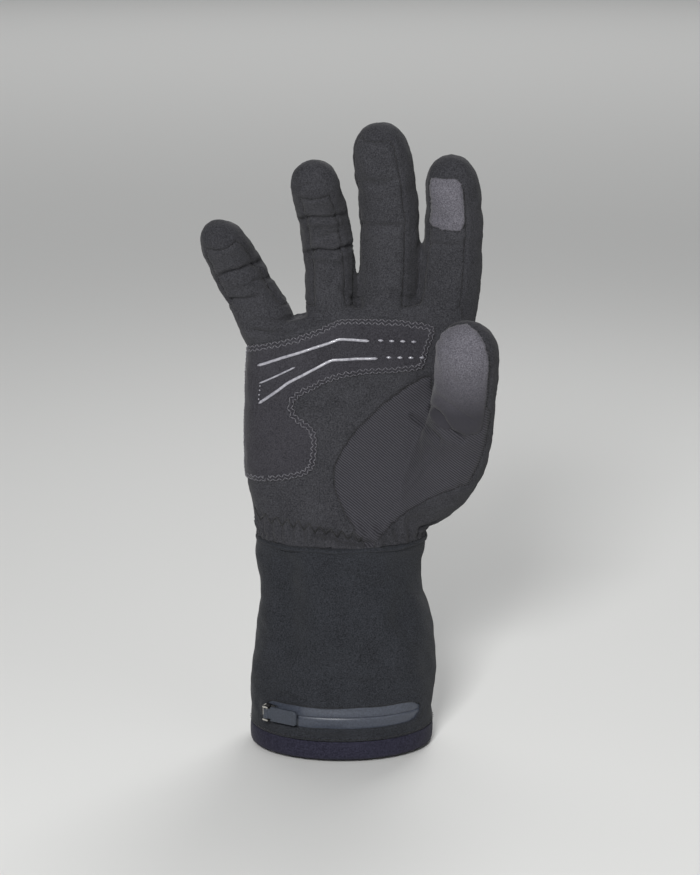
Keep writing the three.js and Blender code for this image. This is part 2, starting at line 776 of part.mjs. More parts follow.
// Zip tapes: two halves that meet along the middle of the window.
const tapeLayer = cuffTube(-ZIP_RECESS, -ZIP_RECESS - TAPE_THICKNESS, HEM_HEIGHT + GAP, CUFF_HEIGHT);
const tapes = tapeLayer.intersect(frontPrism(zipOutline(GAP), 0));
for (const [name, upwards] of [
  ["zip_tape_upper", 1],
  ["zip_tape_lower", -1],
]) {
  const side = new THREE.BoxGeometry(2 * reach, 2 * reach, reach);
  side.translate(0, 0, zipHeight + (upwards * (reach + GAP)) / 2);
  addPiece(name, tapes.intersect(solid(side)), coatedTape);
}

// Slider: a plate in front of the tape with two lugs that hold an upright pin.
function cuffFace(across, grown) {
  const half = cuffHalf(zipHeight / CUFF_HEIGHT, grown);
  const y = -half.y * (1 - Math.abs(across) ** CUFF_SQUARENESS) ** (1 / CUFF_SQUARENESS);
  return new THREE.Vector2(half.middle + across * half.x, y);
}

const seat = cuffFace(SLIDER_ACROSS, GAP);
const ahead = cuffFace(SLIDER_ACROSS + 0.02, GAP).sub(seat);
const pinOff = SLIDER_THICKNESS + GAP + PIN_RADIUS + PIN_CLEARANCE + BARREL_WALL;
const barrelRadius = PIN_RADIUS + PIN_CLEARANCE + BARREL_WALL;
const lugTop = SLIDER_HEIGHT / 2;
const barrelHalf = lugTop - LUG_THICKNESS - GAP;

const slider = new THREE.Group();
slider.position.set(seat.x, seat.y, zipHeight);
slider.rotation.z = Math.atan2(ahead.y, ahead.x);
glove.add(slider);

function box(width, depth, height, x, y, z) {
  return new THREE.BoxGeometry(width, depth, height).translate(x, y, z);
}

const plateShape = new THREE.Shape();
plateShape.moveTo(-SLIDER_LENGTH / 2, -SLIDER_HEIGHT * 0.3);
plateShape.lineTo(-SLIDER_LENGTH * 0.3, -SLIDER_HEIGHT / 2);
plateShape.lineTo(SLIDER_LENGTH / 2, -SLIDER_HEIGHT / 2);
plateShape.lineTo(SLIDER_LENGTH / 2, SLIDER_HEIGHT / 2);
plateShape.lineTo(-SLIDER_LENGTH * 0.3, SLIDER_HEIGHT / 2);
plateShape.lineTo(-SLIDER_LENGTH / 2, SLIDER_HEIGHT * 0.3);
const plate = new THREE.ExtrudeGeometry(plateShape, { depth: SLIDER_THICKNESS, bevelEnabled: false });
plate.rotateX(Math.PI / 2);

const lugs = [-1, 1].map((end) => {
  const depth = pinOff + PIN_RADIUS + BARREL_WALL - SLIDER_THICKNESS / 2;
  const y = -SLIDER_THICKNESS / 2 - depth / 2;
  return box(2 * barrelRadius, depth, LUG_THICKNESS, 0, y, end * (lugTop - LUG_THICKNESS / 2));
});
const pin = new THREE.CylinderGeometry(PIN_RADIUS, PIN_RADIUS, SLIDER_HEIGHT - LUG_THICKNESS, 10);
pin.rotateX(Math.PI / 2);
pin.translate(0, -pinOff, 0);
addPiece("zip_slider", joined([plate, ...lugs, pin].map(solid)), steel, slider);

// Pull: a barrel round the pin and a tab that lies along the zip.
const pullGroup = new THREE.Group();
pullGroup.position.set(0, -pinOff, 0);
pullGroup.rotation.z = radians(PULL_TILT);
slider.add(pullGroup);

function upright(radius, height) {
  return new THREE.CylinderGeometry(radius, radius, height, 16).rotateX(Math.PI / 2);
}

const barrel = upright(barrelRadius, 2 * barrelHalf);
const pinHole = upright(PIN_RADIUS + PIN_CLEARANCE, SLIDER_HEIGHT);
const neckLength = barrelRadius + 2 * GAP;
const neck = box(neckLength, PULL_THICKNESS, 2 * barrelHalf, neckLength / 2 + PIN_RADIUS, 0, 0);
const tabShape = new THREE.Shape();
const tabStart = barrelRadius + 2.5 * GAP;
const tabCorner = PULL_THICKNESS;
tabShape.moveTo(tabStart, -PULL_HEIGHT / 2);
tabShape.lineTo(PULL_LENGTH - tabCorner, -PULL_HEIGHT / 2);
tabShape.absarc(PULL_LENGTH - tabCorner, -PULL_HEIGHT / 2 + tabCorner, tabCorner, -Math.PI / 2, 0, false);
tabShape.absarc(PULL_LENGTH - tabCorner, PULL_HEIGHT / 2 - tabCorner, tabCorner, 0, Math.PI / 2, false);
tabShape.lineTo(tabStart, PULL_HEIGHT / 2);
const tab = new THREE.ExtrudeGeometry(tabShape, {
  depth: PULL_THICKNESS,
  bevelEnabled: false,
  curveSegments: 3,
});
tab.rotateX(Math.PI / 2);
tab.translate(0, PULL_THICKNESS / 2, 0);
const pull = joined([barrel, neck, tab].map(solid)).subtract(solid(pinHole));
addPiece("zip_pull", pull, mouldedRubber, pullGroup);

export default glove;
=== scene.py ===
"""Heated glove for the right hand: stretch-knit panels, a suede palm patch with printed grip lines, a ribbed
thumb gore, touch pads, and a long softshell cuff with a coated zip. Lengths in the tables are millimetres
or shares of named sizes, and meshes are built in metres."""

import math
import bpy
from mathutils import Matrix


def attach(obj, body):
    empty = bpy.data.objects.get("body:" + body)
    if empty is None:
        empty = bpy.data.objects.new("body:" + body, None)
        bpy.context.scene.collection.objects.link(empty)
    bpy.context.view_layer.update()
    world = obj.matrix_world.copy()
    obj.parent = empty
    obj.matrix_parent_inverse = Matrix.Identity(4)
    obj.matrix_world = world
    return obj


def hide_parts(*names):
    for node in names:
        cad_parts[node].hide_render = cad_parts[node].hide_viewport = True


bl_info = {
    "name": "Heated glove",
    "version": (1, 0, 0),
    "blender": (4, 2, 0),
    "location": "View3D > Sidebar > Glove",
    "description": "Builds the looks of a heated glove over its solids",
    "category": "Object",
}

import bmesh
import bpy
import numpy as np
from bpy.props import FloatProperty, FloatVectorProperty, PointerProperty
from mathutils import Vector
from mathutils.bvhtree import BVHTree

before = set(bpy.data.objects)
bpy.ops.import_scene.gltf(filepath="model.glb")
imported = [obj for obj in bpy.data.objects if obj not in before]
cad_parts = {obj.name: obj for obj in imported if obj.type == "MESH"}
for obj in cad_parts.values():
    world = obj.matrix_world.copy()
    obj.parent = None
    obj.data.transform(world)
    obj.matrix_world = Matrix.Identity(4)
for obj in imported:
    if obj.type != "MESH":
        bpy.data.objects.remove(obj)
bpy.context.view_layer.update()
MM = 0.001

# Sizes of the solids, in millimetres.
CUFF_HEIGHT, CUFF_WIDTH, CUFF_DEPTH, CUFF_WALL = 100, 86, 64, 2.2
CUFF_SQUARENESS = 2.06
HEM_HEIGHT, HEM_WALL = 8.6, 2.8
PALM_LENGTH, PALM_WIDTH, PALM_DEPTH, HAND_WALL = 112, 96, 40, 1.7
GAP = 0.3
PALM_BASE = CUFF_HEIGHT + GAP
STALL_DEPTH_SHARE, TIP_ROUNDING, FOLD_PINCH = 0.9, 0.52, 0.045
ZIP_LENGTH, ZIP_WIDTH, ZIP_HEIGHT = 72, 10, 20
PATCH_STITCH, HEM_STITCH = 1.5, 2.4
VOXEL = 1.02
FOLD_DEPTH_GAIN, CUFF_RELIEF_GAIN = 1.3, 1.8
WEDGE_START, THUMB_WEDGE_START = 0.07, 0.34

# Cuff sections: at, width, shift, depth.
CUFF_SECTIONS = np.array([
    (0.0, 1.0, -0.005, 1.0),
    (0.13, 1.002, -0.002, 0.99),
    (0.27, 1.004, 0.005, 0.98),
    (0.46, 0.991, 0.014, 0.95),
    (0.6, 0.945, 0.01, 0.92),
    (0.74, 0.885, -0.008, 0.89),
    (0.87, 0.892, -0.012, 0.865),
    (1.0, 0.915, -0.004, 0.85),
])

# Palm sections: at, width, shift, depth, square, hollow, heel, fall.
PALM_SECTIONS = np.array([
    (0.0, 0.82, -0.004, 1.34, 2.1, 0.0, 0.0, 0.0),
    (0.025, 0.835, -0.002, 1.28, 2.2, 0.0, 0.02, 0.0),
    (0.06, 0.845, 0.006, 1.15, 2.3, 0.0, 0.04, 0.0),
    (0.125, 0.9, 0.019, 1.04, 2.35, 0.02, 0.1, 0.0),
    (0.21, 0.955, 0.027, 1.0, 2.4, 0.07, 0.16, 0.0),
    (0.39, 0.987, 0.033, 0.95, 2.5, 0.12, 0.16, 0.0),
    (0.57, 0.998, 0.045, 0.88, 2.6, 0.11, 0.06, 0.0),
    (0.77, 1.02, 0.065, 0.82, 2.8, 0.04, 0.0, 0.02),
    (0.88, 1.025, 0.082, 0.77, 3.0, 0.0, 0.0, 0.07),
    (0.96, 0.98, 0.09, 0.67, 3.0, 0.0, 0.0, 0.11),
    (1.0, 0.9, 0.09, 0.48, 3.0, 0.0, 0.0, 0.13),
])

# Stalls: path rows are up, side, forward; girth rows are at, width.
STALLS = {
    "little": dict(length=69, width=23, root=(-0.323, 0.785), turn=0, front=55, tip_seam=0.9,
                   folds=(0.42, 0.66),
                   path=((0, 0, 0), (0.2, -0.06, 0.02), (0.45, -0.185, 0.08), (0.64, -0.27, 0.19),
                         (0.78, -0.325, 0.32), (0.855, -0.34, 0.41)),
                   girth=((0, 0.95), (0.15, 1.1), (0.35, 1.04), (0.7, 0.98), (1, 0.82))),
    "ring": dict(length=90, width=23, root=(-0.048, 0.82), turn=4, front=40, tip_seam=0.87,
                 folds=(0.44, 0.64),
                 path=((0, 0, 0), (0.2, -0.004, 0.02), (0.4, -0.01, 0.065), (0.61, -0.034, 0.155),
                       (0.8, -0.075, 0.285), (0.925, -0.085, 0.38)),
                 girth=((0, 1.0), (0.6, 1.0), (1, 0.93))),
    "middle": dict(length=98, width=27, root=(0.214, 0.84), turn=28, front=57, tip_seam=0.95,
                   folds=(0.51, 0.69),
                   path=((0, 0, 0), (0.2, 0.003, 0.02), (0.48, 0.01, 0.055), (0.7, -0.007, 0.1),
                         (0.86, -0.031, 0.155), (0.99, -0.045, 0.2)),
                   girth=((0, 0.98), (0.5, 1.01), (0.75, 1.0), (1, 0.92))),
    "index": dict(length=98, width=27, root=(0.43, 0.72), turn=20, front=42, tip_seam=0.9,
                  folds=(0.58, 0.74),
                  path=((0, 0, 0), (0.24, 0.057, 0.02), (0.518, 0.082, 0.058), (0.735, 0.088, 0.1),
                        (0.892, 0.07, 0.153), (0.98, 0.058, 0.187)),
                  girth=((0, 0.9), (0.15, 1.02), (0.35, 1.05), (0.7, 0.97), (1, 0.86))),
    "thumb": dict(length=105, width=28, root=(0.25, 0.105), turn=31, front=74, tip_seam=0.93, folds=(),
                  path=((0, 0, 0.04), (0.133, 0.152, 0.115), (0.286, 0.243, 0.18), (0.51, 0.285, 0.286),
                        (0.748, 0.297, 0.38), (0.913, 0.292, 0.43)),
                  girth=((0, 0.75), (0.12, 1.05), (0.22, 1.2), (0.38, 1.19), (0.6, 1.03), (1, 1.0))),
}

# Touch pads: stall, from, to, degrees left and right of the middle of its pad.
PADS = {"index_pad": ("index", 0.675, 0.935, 46, 40), "thumb_pad": ("thumb", 0.58, 1.0, 70, 68)}

# Outlines on the palm: across from -1 at the little finger's edge to 1, up as a share of its length.
PATCH_OUTLINE = (
    (-1.04, 0.80), (-0.93, 0.81), (-0.62, 0.844), (-0.42, 0.874), (-0.24, 0.911), (-0.14, 0.923),
    (0.28, 0.923), (0.54, 0.911), (0.66, 0.9), (0.7, 0.88), (0.66, 0.82), (0.64, 0.73), (0.62, 0.713),
    (0.07, 0.697), (-0.2, 0.676), (-0.43, 0.62), (-0.53, 0.594), (-0.555, 0.565), (-0.53, 0.536),
    (-0.41, 0.502), (-0.34, 0.473), (-0.302, 0.436), (-0.307, 0.377), (-0.32, 0.331), (-0.35, 0.302),
    (-0.41, 0.281), (-0.58, 0.264), (-0.94, 0.243), (-1.1, 0.243),
)
GORE_OUTLINE = (
    (0.3, -0.1), (0.3, 0.0), (0.055, 0.095), (-0.08, 0.175), (-0.14, 0.25), (-0.145, 0.305), (-0.1, 0.36),
    (0.0, 0.43), (0.134, 0.504), (0.26, 0.562), (0.42, 0.62), (0.63, 0.687), (0.86, 0.7), (1.27, 0.63),
    (1.28, 0.5), (1.24, 0.36), (1.1, 0.268), (0.85, 0.231), (0.7, 0.172), (0.487, 0.069), (0.34, 0.0),
    (0.34, -0.1),
)
GRIP_LINES = {
    "grip_upper": ((-0.9, 0.728), (-0.66, 0.768), (-0.29, 0.825), (-0.17, 0.846), (0.1, 0.838)),
    "grip_lower": ((-0.88, 0.572), (-0.61, 0.663), (-0.43, 0.707), (-0.22, 0.758), (0.2, 0.766)),
    "grip_short": ((-0.88, 0.655), (-0.55, 0.729)),
    "grip_edge": ((-0.87, 0.645), (-0.88, 0.59)),
}
GRIP_DASHES = {
    "grip_dash_upper": ((0.18, 0.841), (0.53, 0.833)),
    "grip_dash_lower": ((0.28, 0.77), (0.63, 0.768)),
}

# The camera: where it looks, how high it stands above that, how far off it is, and its lens.
VIEW_TARGET, VIEW_ELEVATION, VIEW_DISTANCE, VIEW_SCALE = (3.6, 0.0, 145.6), 14, 1000, 2173
FRAME_WIDTH, FRAME_HEIGHT, SENSOR = 700, 875, 36

# Creases as seen from the camera, in the frame's 700 by 875 grid: half width and height in millimetres,
# below zero for a fold that sinks, then the points that it runs through.
CREASES = (
    (1.7, -1.4, ((223, 275), (240, 271), (260, 262))),
    (1.2, -0.8, ((254, 281), (273, 277))),
    (1.5, -1.3, ((231, 300), (246, 300), (258, 297))),
    (1.6, 0.5, ((228, 286), (250, 280), (264, 270))),
    (1.1, -0.6, ((206, 236), (217, 232), (229, 236))),
    (1.2, -0.6, ((293, 190), (307, 185), (322, 184))),
    (1.5, -1.2, ((297, 221), (312, 218), (328, 219), (345, 215))),
    (1.5, -1.5, ((303, 254), (318, 251), (334, 253), (355, 244))),
    (1.0, -0.45, ((318, 238), (332, 235), (347, 229))),
    (2.4, -0.8, ((358, 182), (376, 185), (396, 181))),
    (1.6, -0.9, ((362, 224), (380, 227), (401, 226))),
    (1.6, 0.4, ((360, 233), (380, 236), (400, 235))),
    (1.4, -0.5, ((430, 226), (448, 229), (466, 226))),
    (1.4, -0.6, ((430, 244), (450, 246), (468, 243))),
    (1.3, -1.0, ((254, 320), (275, 322), (292, 318))),
    (1.3, -1.1, ((252, 331), (274, 334), (296, 328))),
    (1.5, -1.3, ((285, 295), (295, 305), (304, 313))),
    (1.4, -0.8, ((341, 289), (350, 297), (359, 301))),
    (1.5, -0.8, ((393, 291), (406, 298), (419, 301))),
    (1.5, -1.5, ((413, 416), (426, 426), (439, 439))),
    (1.6, -1.7, ((433, 407), (444, 418), (451, 430), (462, 439))),
    (2.0, 0.9, ((424, 408), (437, 424), (450, 441))),
    (1.6, -0.7, ((440, 396), (456, 408), (472, 420))),
    (3.5, -0.9, ((352, 352), (378, 392), (352, 436))),
    (2.5, -0.5, ((276, 500), (300, 492), (324, 496))),
    (2.0, -0.4, ((262, 452), (280, 448), (300, 452))),
    (2.2, -2.2, ((318, 532), (338, 537), (352, 540), (370, 544))),
)
CUFF_CREASES = (
    (7.0, -2.2, ((286, 560), (283, 600), (286, 645))),
    (6.0, 1.0, ((312, 566), (316, 610), (322, 650))),
    (7.0, -1.4, ((404, 560), (408, 592), (402, 618))),
    (6.0, 0.8, ((384, 620), (410, 660), (420, 690))),
    (3.5, -0.7, ((330, 556), (352, 578), (380, 590))),
    (3.0, -0.5, ((300, 668), (330, 680), (372, 684))),
    (2.5, -0.4, ((350, 610), (372, 622), (398, 622))),
)


# --- Curves and sections ---

def column(rows, index):
    """A smooth reading of one column of a table whose first column is its place."""
    rows = np.asarray(rows, float)
    t, v = rows[:, 0], rows[:, index]
    t = np.concatenate([[2 * t[0] - t[1]], t, [2 * t[-1] - t[-2]]])
    v = np.concatenate([[v[1]], v, [v[-2]]])

    def read(at):
        at = np.clip(np.asarray(at, float), t[1], t[-2])
        i = np.clip(np.searchsorted(t, at, side="right"), 2, len(t) - 2)
        t0, t1 = t[i - 1], t[i]
        half = (t1 - t0) / 2
        before, after = half / (t0 - t[i - 2]), half / (t[i + 1] - t1)
        p = (at - t0) / (t1 - t0)
        p2, p3 = p * p, p * p * p
        return (v[i - 2] * (-before * p3 + 2 * before * p2 - before * p)
                + v[i - 1] * ((1 + before) * p3 - (1.5 + 2 * before) * p2 + (before - 0.5) * p + 1)
                + v[i] * (-(1 + after) * p3 + (1.5 + after) * p2 + 0.5 * p)
                + v[i + 1] * (after * p3 - after * p2))
    return read


CUFF = {key: column(CUFF_SECTIONS, i + 1) for i, key in enumerate(("width", "shift", "depth"))}
PALM = {key: column(PALM_SECTIONS, i + 1)
        for i, key in enumerate(("width", "shift", "depth", "square", "hollow", "heel", "fall"))}


def smoothstep(value, low, high):
    share = np.clip((value - low) / (high - low), 0, 1)
    return share * share * (3 - 2 * share)


def unit(rows, least=0.0):
    return rows / (np.linalg.norm(rows, axis=1)[:, None] + least)


def oval(angle, square):
    return tuple(np.sign(v) * np.abs(v) ** (2 / square) for v in (np.cos(angle), np.sin(angle)))


def palm_points(at, angle):
    unit_x, unit_y = oval(angle, PALM["square"](at))
    hollow = PALM["hollow"](at) * (1 - unit_x ** 2) ** 2
    heel = PALM["heel"](at) * ((1 + unit_x) / 2) ** 2
    sunk = np.where(unit_y < 0, (hollow + unit_y * heel) * PALM_DEPTH, 0)
    fall = PALM["fall"](at) * PALM_LENGTH * ((1 - unit_x) / 2) ** 2
    x = PALM["shift"](at) * PALM_WIDTH + PALM["width"](at) * PALM_WIDTH / 2 * unit_x
    y = PALM["depth"](at) * PALM_DEPTH / 2 * unit_y + sunk
    return np.stack([x, y, PALM_BASE + at * PALM_LENGTH - fall], -1)


def cuff_points(height, angle, grown):
    at = height / CUFF_HEIGHT
    unit_x, unit_y = oval(angle, CUFF_SQUARENESS)
    x = CUFF["shift"](at) * CUFF_WIDTH + (CUFF["width"](at) * CUFF_WIDTH / 2 + grown) * unit_x
    y = (CUFF["depth"](at) * CUFF_DEPTH / 2 + grown) * unit_y
    return np.stack([x, y, height + 0 * x], -1)


class Stall:
    """The middle line of one stall, with its own axes and half width at each share of its length."""

    def __init__(self, length, width, root, turn, front, tip_seam, folds, path, girth):
        self.width, self.front, self.tip_seam, self.folds = width, front, tip_seam, folds
        base = np.array([root[0] * PALM_WIDTH, 0, PALM_BASE + root[1] * PALM_LENGTH])
        points = np.array([(side, -forward, up) for up, side, forward in path]) * length + base
        points = np.vstack([2 * points[0] - points[1], points, 2 * points[-1] - points[-2]])
        dense = []
        for a, b, c, d in zip(points, points[1:], points[2:], points[3:]):
            dt0, dt1, dt2 = (np.linalg.norm(q - p) ** 0.5 for p, q in ((a, b), (b, c), (c, d)))
            m1 = ((b - a) / dt0 - (c - a) / (dt0 + dt1) + (c - b) / dt1) * dt1
            m2 = ((c - b) / dt1 - (d - b) / (dt1 + dt2) + (d - c) / dt2) * dt1
            s = np.linspace(0, 1, 60)[:, None]
            dense.append(b + m1 * s + (3 * (c - b) - 2 * m1 - m2) * s ** 2
                         + (2 * (b - c) + m1 + m2) * s ** 3)
        dense = np.vstack([dense[0]] + [part[1:] for part in dense[1:]])
        reach = np.concatenate([[0], np.cumsum(np.linalg.norm(np.diff(dense, axis=0), axis=1))])
        self.arc = reach[-1]
        self.cap = TIP_ROUNDING * width / self.arc
        self.shares = np.linspace(0, 1, 161)
        places = self.shares * self.arc
        self.centres = np.stack([np.interp(places, reach, dense[:, k]) for k in range(3)], -1)
        self.along = unit(np.gradient(self.centres, axis=0))
        self.half = width / 2 * column(girth, 1)(self.shares)
        for fold in folds:
            self.half = self.half - width / 2 * FOLD_PINCH * np.exp(-((self.shares - fold) / 0.028) ** 2)
        forward = np.array([0, -1.0, 0])
        front = unit(forward - self.along * (self.along @ forward)[:, None])
        angle = -math.radians(turn)
        self.ahead = front * math.cos(angle) + np.cross(self.along, front) * math.sin(angle)
        self.side = np.cross(self.along, self.ahead)

    def row(self, values, share):
        return np.stack([np.interp(share, self.shares, values[:, k]) for k in range(3)], -1)

    def rings(self, sides):
        angle = np.linspace(0, 2 * math.pi, sides + 1)
        cap = 1 - self.cap
        places = [(share, 1.0) for share in np.linspace(0, cap, 60)]
        places += [(cap + into * self.cap, math.sqrt(1 - into ** 2))
                   for into in np.linspace(0.08, 0.995, 16)]
        out = []
        for share, roundness in places:
            half = np.interp(share, self.shares, self.half) * roundness
            out.append(self.row(self.centres, share)
                       + np.cos(angle)[:, None] * half * self.row(self.side, share)
                       - np.sin(angle)[:, None] * half * STALL_DEPTH_SHARE * self.row(self.ahead, share))
        return np.array(out)

    def locate(self, points):
        """Share along the stall, degrees from the middle of its pad, and distance as a share of its girth."""
        best = np.empty(len(points), int)
        for start in range(0, len(points), 20000):
            block = points[start:start + 20000]
            gap = ((block[:, None, :] - self.centres[None]) ** 2).sum(-1)
            best[start:start + 20000] = gap.argmin(1)
        off = points - self.centres[best]
        beyond = (off * self.along[best]).sum(1)
        share = self.shares[best] + beyond / self.arc
        front = (off * self.ahead[best]).sum(1)
        side = (off * self.side[best]).sum(1)
        ratio = np.sqrt(side ** 2 + (front / STALL_DEPTH_SHARE) ** 2) / self.half[best]
        ratio = np.where(np.abs(beyond) > self.width * 0.7, 9, ratio)
        return share, np.degrees(np.arctan2(side, front)), ratio


STALL = {name: Stall(**rows) for name, rows in STALLS.items()}


def palm_place(outline):
    return np.array([(PALM["shift"](np.clip(up, 0, 1)) * PALM_WIDTH
                      + across * PALM["width"](np.clip(up, 0, 1)) * PALM_WIDTH / 2,
                      PALM_BASE + up * PALM_LENGTH) for across, up in outline])


def line_distance(points, line):
    """Distance in the plane from each point to an open line."""
    best = np.full(len(points), 1e9)
    for a, b in zip(line, line[1:]):
        edge = b - a
        share = np.clip(((points - a) @ edge) / (edge @ edge), 0, 1)
        best = np.minimum(best, np.linalg.norm(points - a - share[:, None] * edge, axis=1))
    return best


def outline_distance(points, outline):
    """Distance in the plane to a closed outline, above zero inside."""
    closed = np.vstack([outline, outline[:1]])
    inside = np.zeros(len(points), bool)
    for (ax, ay), (bx, by) in zip(closed, closed[1:]):
        spans = (ay > points[:, 1]) != (by > points[:, 1])
        with np.errstate(divide="ignore", invalid="ignore"):
            cross = (bx - ax) * (points[:, 1] - ay) / (by - ay) + ax
        inside ^= spans & (points[:, 0] < cross)
    return np.where(inside, 1, -1) * line_distance(points, closed)


def rounded(outline, times=2):
    """An outline with its corners cut again and again, which rounds them."""
    points = np.asarray(outline, float)
    for _ in range(times):
        after = np.roll(points, -1, axis=0)
        points = np.stack([points * 0.75 + after * 0.25, points * 0.25 + after * 0.75], 1).reshape(-1, 2)
    return points


# --- The camera's view ---

TILT = math.radians(VIEW_ELEVATION)
VIEW_FROM = np.array([VIEW_TARGET[0], -VIEW_DISTANCE * math.cos(TILT),
                      VIEW_TARGET[2] + VIEW_DISTANCE * math.sin(TILT)])


def seen_at(points):
    """Where points in millimetres fall in the camera's frame."""
    x, y, z = points[:, 0] - VIEW_TARGET[0], points[:, 1], points[:, 2] - VIEW_TARGET[2]
    depth = VIEW_DISTANCE + y * math.cos(TILT) - z * math.sin(TILT)
    rise = y * math.sin(TILT) + z * math.cos(TILT)
    scale = VIEW_SCALE / depth
    return np.stack([FRAME_WIDTH / 2 + x * scale, FRAME_HEIGHT / 2 - rise * scale], -1)


# --- Meshes ---

def lofted(bm, rings, close=(False, False)):
    """A tube through rings of points, whose first and last columns are the same."""
    rows, columns = rings.shape[:2]
    made = bmesh.ops.create_grid(bm, x_segments=columns - 1, y_segments=rows - 1, size=1)["verts"]
    for vert, point in zip(made, rings.reshape(-1, 3) * MM):
        vert.co = point
    seam = [vert for i, vert in enumerate(made) if i % columns in (0, columns - 1)]
    bmesh.ops.remove_doubles(bm, verts=seam, dist=1e-6)
    for end, wanted in enumerate(close):
        if wanted:
            row = {vert for vert in (made[-columns:] if end else made[:columns]) if vert.is_valid}
            edges = [edge for edge in bm.edges if edge.is_boundary and all(v in row for v in edge.verts)]
            bmesh.ops.holes_fill(bm, edges=edges, sides=0)


def meshed(name, bm, recalculate=True):
    """A mesh from a bmesh, which is freed."""
    if recalculate:
        bmesh.ops.recalc_face_normals(bm, faces=bm.faces)
    mesh = bpy.data.meshes.new(name)
    bm.to_mesh(mesh)
    bm.free()
    return mesh


def fresh(name, bm, material, smooth=True):
    return placed(name, meshed(name, bm), material, smooth)


def placed(name, mesh, material, smooth=True):
    mesh.materials.clear()
    mesh.materials.append(material)
    mesh.polygons.foreach_set("use_smooth", [smooth] * len(mesh.polygons))
    piece = bpy.data.objects.new(name, mesh)
    bpy.context.scene.collection.objects.link(piece)
    return piece


def shell(piece, thickness):
    wall = piece.modifiers.new("wall", "SOLIDIFY")
    wall.thickness, wall.offset = thickness * MM, -1
    return piece


def read_rows(items, key, size, kind=float):
    flat = np.empty(len(items) * size, kind)
    items.foreach_get(key, flat)
    return flat.reshape(-1, size)


def points_of(mesh):
    return read_rows(mesh.vertices, "co", 3) / MM


def normals_of(mesh):
    return read_rows(mesh.vertex_normals, "vector", 3)


def set_points(mesh, points):
    mesh.vertices.foreach_set("co", (points * MM).ravel())
    mesh.update()


def edges_of(mesh):
    return read_rows(mesh.edges, "vertices", 2, np.int64)


def evened(points, edges, times, factor=0.5):
    """Points moved towards the mean of their neighbours."""
    count = np.bincount(edges.ravel(), minlength=len(points))[:, None]
    for _ in range(times):
        total = np.zeros_like(points)
        np.add.at(total, edges[:, 0], points[edges[:, 1]])
        np.add.at(total, edges[:, 1], points[edges[:, 0]])
        points = points + factor * (total / count - points)
    return points


def snapped(points, edges, level):
    """Points moved along edges onto the line where the level is zero."""
    points, level = points.copy(), level.copy()
    first, second = edges[:, 0], edges[:, 1]
    cross = (level[first] * level[second] < 0)
    first, second = first[cross], second[cross]
    nearer = np.abs(level[first]) < np.abs(level[second])
    move, other = np.where(nearer, first, second), np.where(nearer, second, first)
    share = level[move] / (level[move] - level[other])
    order = np.argsort(-share)
    target = points[move] + share[:, None] * (points[other] - points[move])
    points[move[order]] = target[order]
    level[move] = 0
    return points, level


def part_of(source, name, keep, material, points=None):
    """A piece from some faces of a mesh."""
    bm = bmesh.new()
    bm.from_mesh(source)
    bm.faces.ensure_lookup_table()
    if points is not None:
        for vert, point in zip(bm.verts, points * MM):
            vert.co = point
    lost = [face for face, kept in zip(bm.faces, keep) if not kept]
    bmesh.ops.delete(bm, geom=lost, context="FACES")
    return placed(name, meshed(name, bm, False), material)


def face_level(mesh, level):
    """The sum of a level over each face's corners."""
    corners = read_rows(mesh.loops, "vertex_index", 1, np.int64)[:, 0]
    start = read_rows(mesh.polygons, "loop_start", 1, np.int64)[:, 0]
    return np.add.reduceat(level[corners], start)


def creased(points, normals, visible, creases):
    """Heights that folds seen from the camera give to points."""
    seen = seen_at(points)
    height = np.zeros(len(points))
    for half_width, rise, line in creases:
        away = line_distance(seen, np.array(line, float)) / (VIEW_SCALE / VIEW_DISTANCE)
        if abs(rise) > 0.4 and half_width < 3:
            height += FOLD_DEPTH_GAIN * rise * np.exp(-(away / (0.75 * half_width)) ** 2)
            height += 0.35 * abs(rise) * np.exp(-((away - 1.6 * half_width) / half_width) ** 2)
        else:
            height += rise * np.exp(-(away / half_width) ** 2)
    towards = unit(VIEW_FROM - points)
    facing = np.clip((normals * towards).sum(1) * 2.5, 0, 1)
    return height * facing * visible


def ripple(points, scale, seed):
    """An even, unhurried unevenness between -1 and 1 with features about as large as the scale."""
    dice = np.random.default_rng(seed)
    total = np.zeros(len(points))
    for _ in range(14):
        way = dice.normal(size=3)
        way *= 2 * math.pi / (scale * dice.uniform(0.7, 1.8) * np.linalg.norm(way))
        total += np.sin(points @ way + dice.uniform(0, 6.28))
    return total / 5


HAND = {}


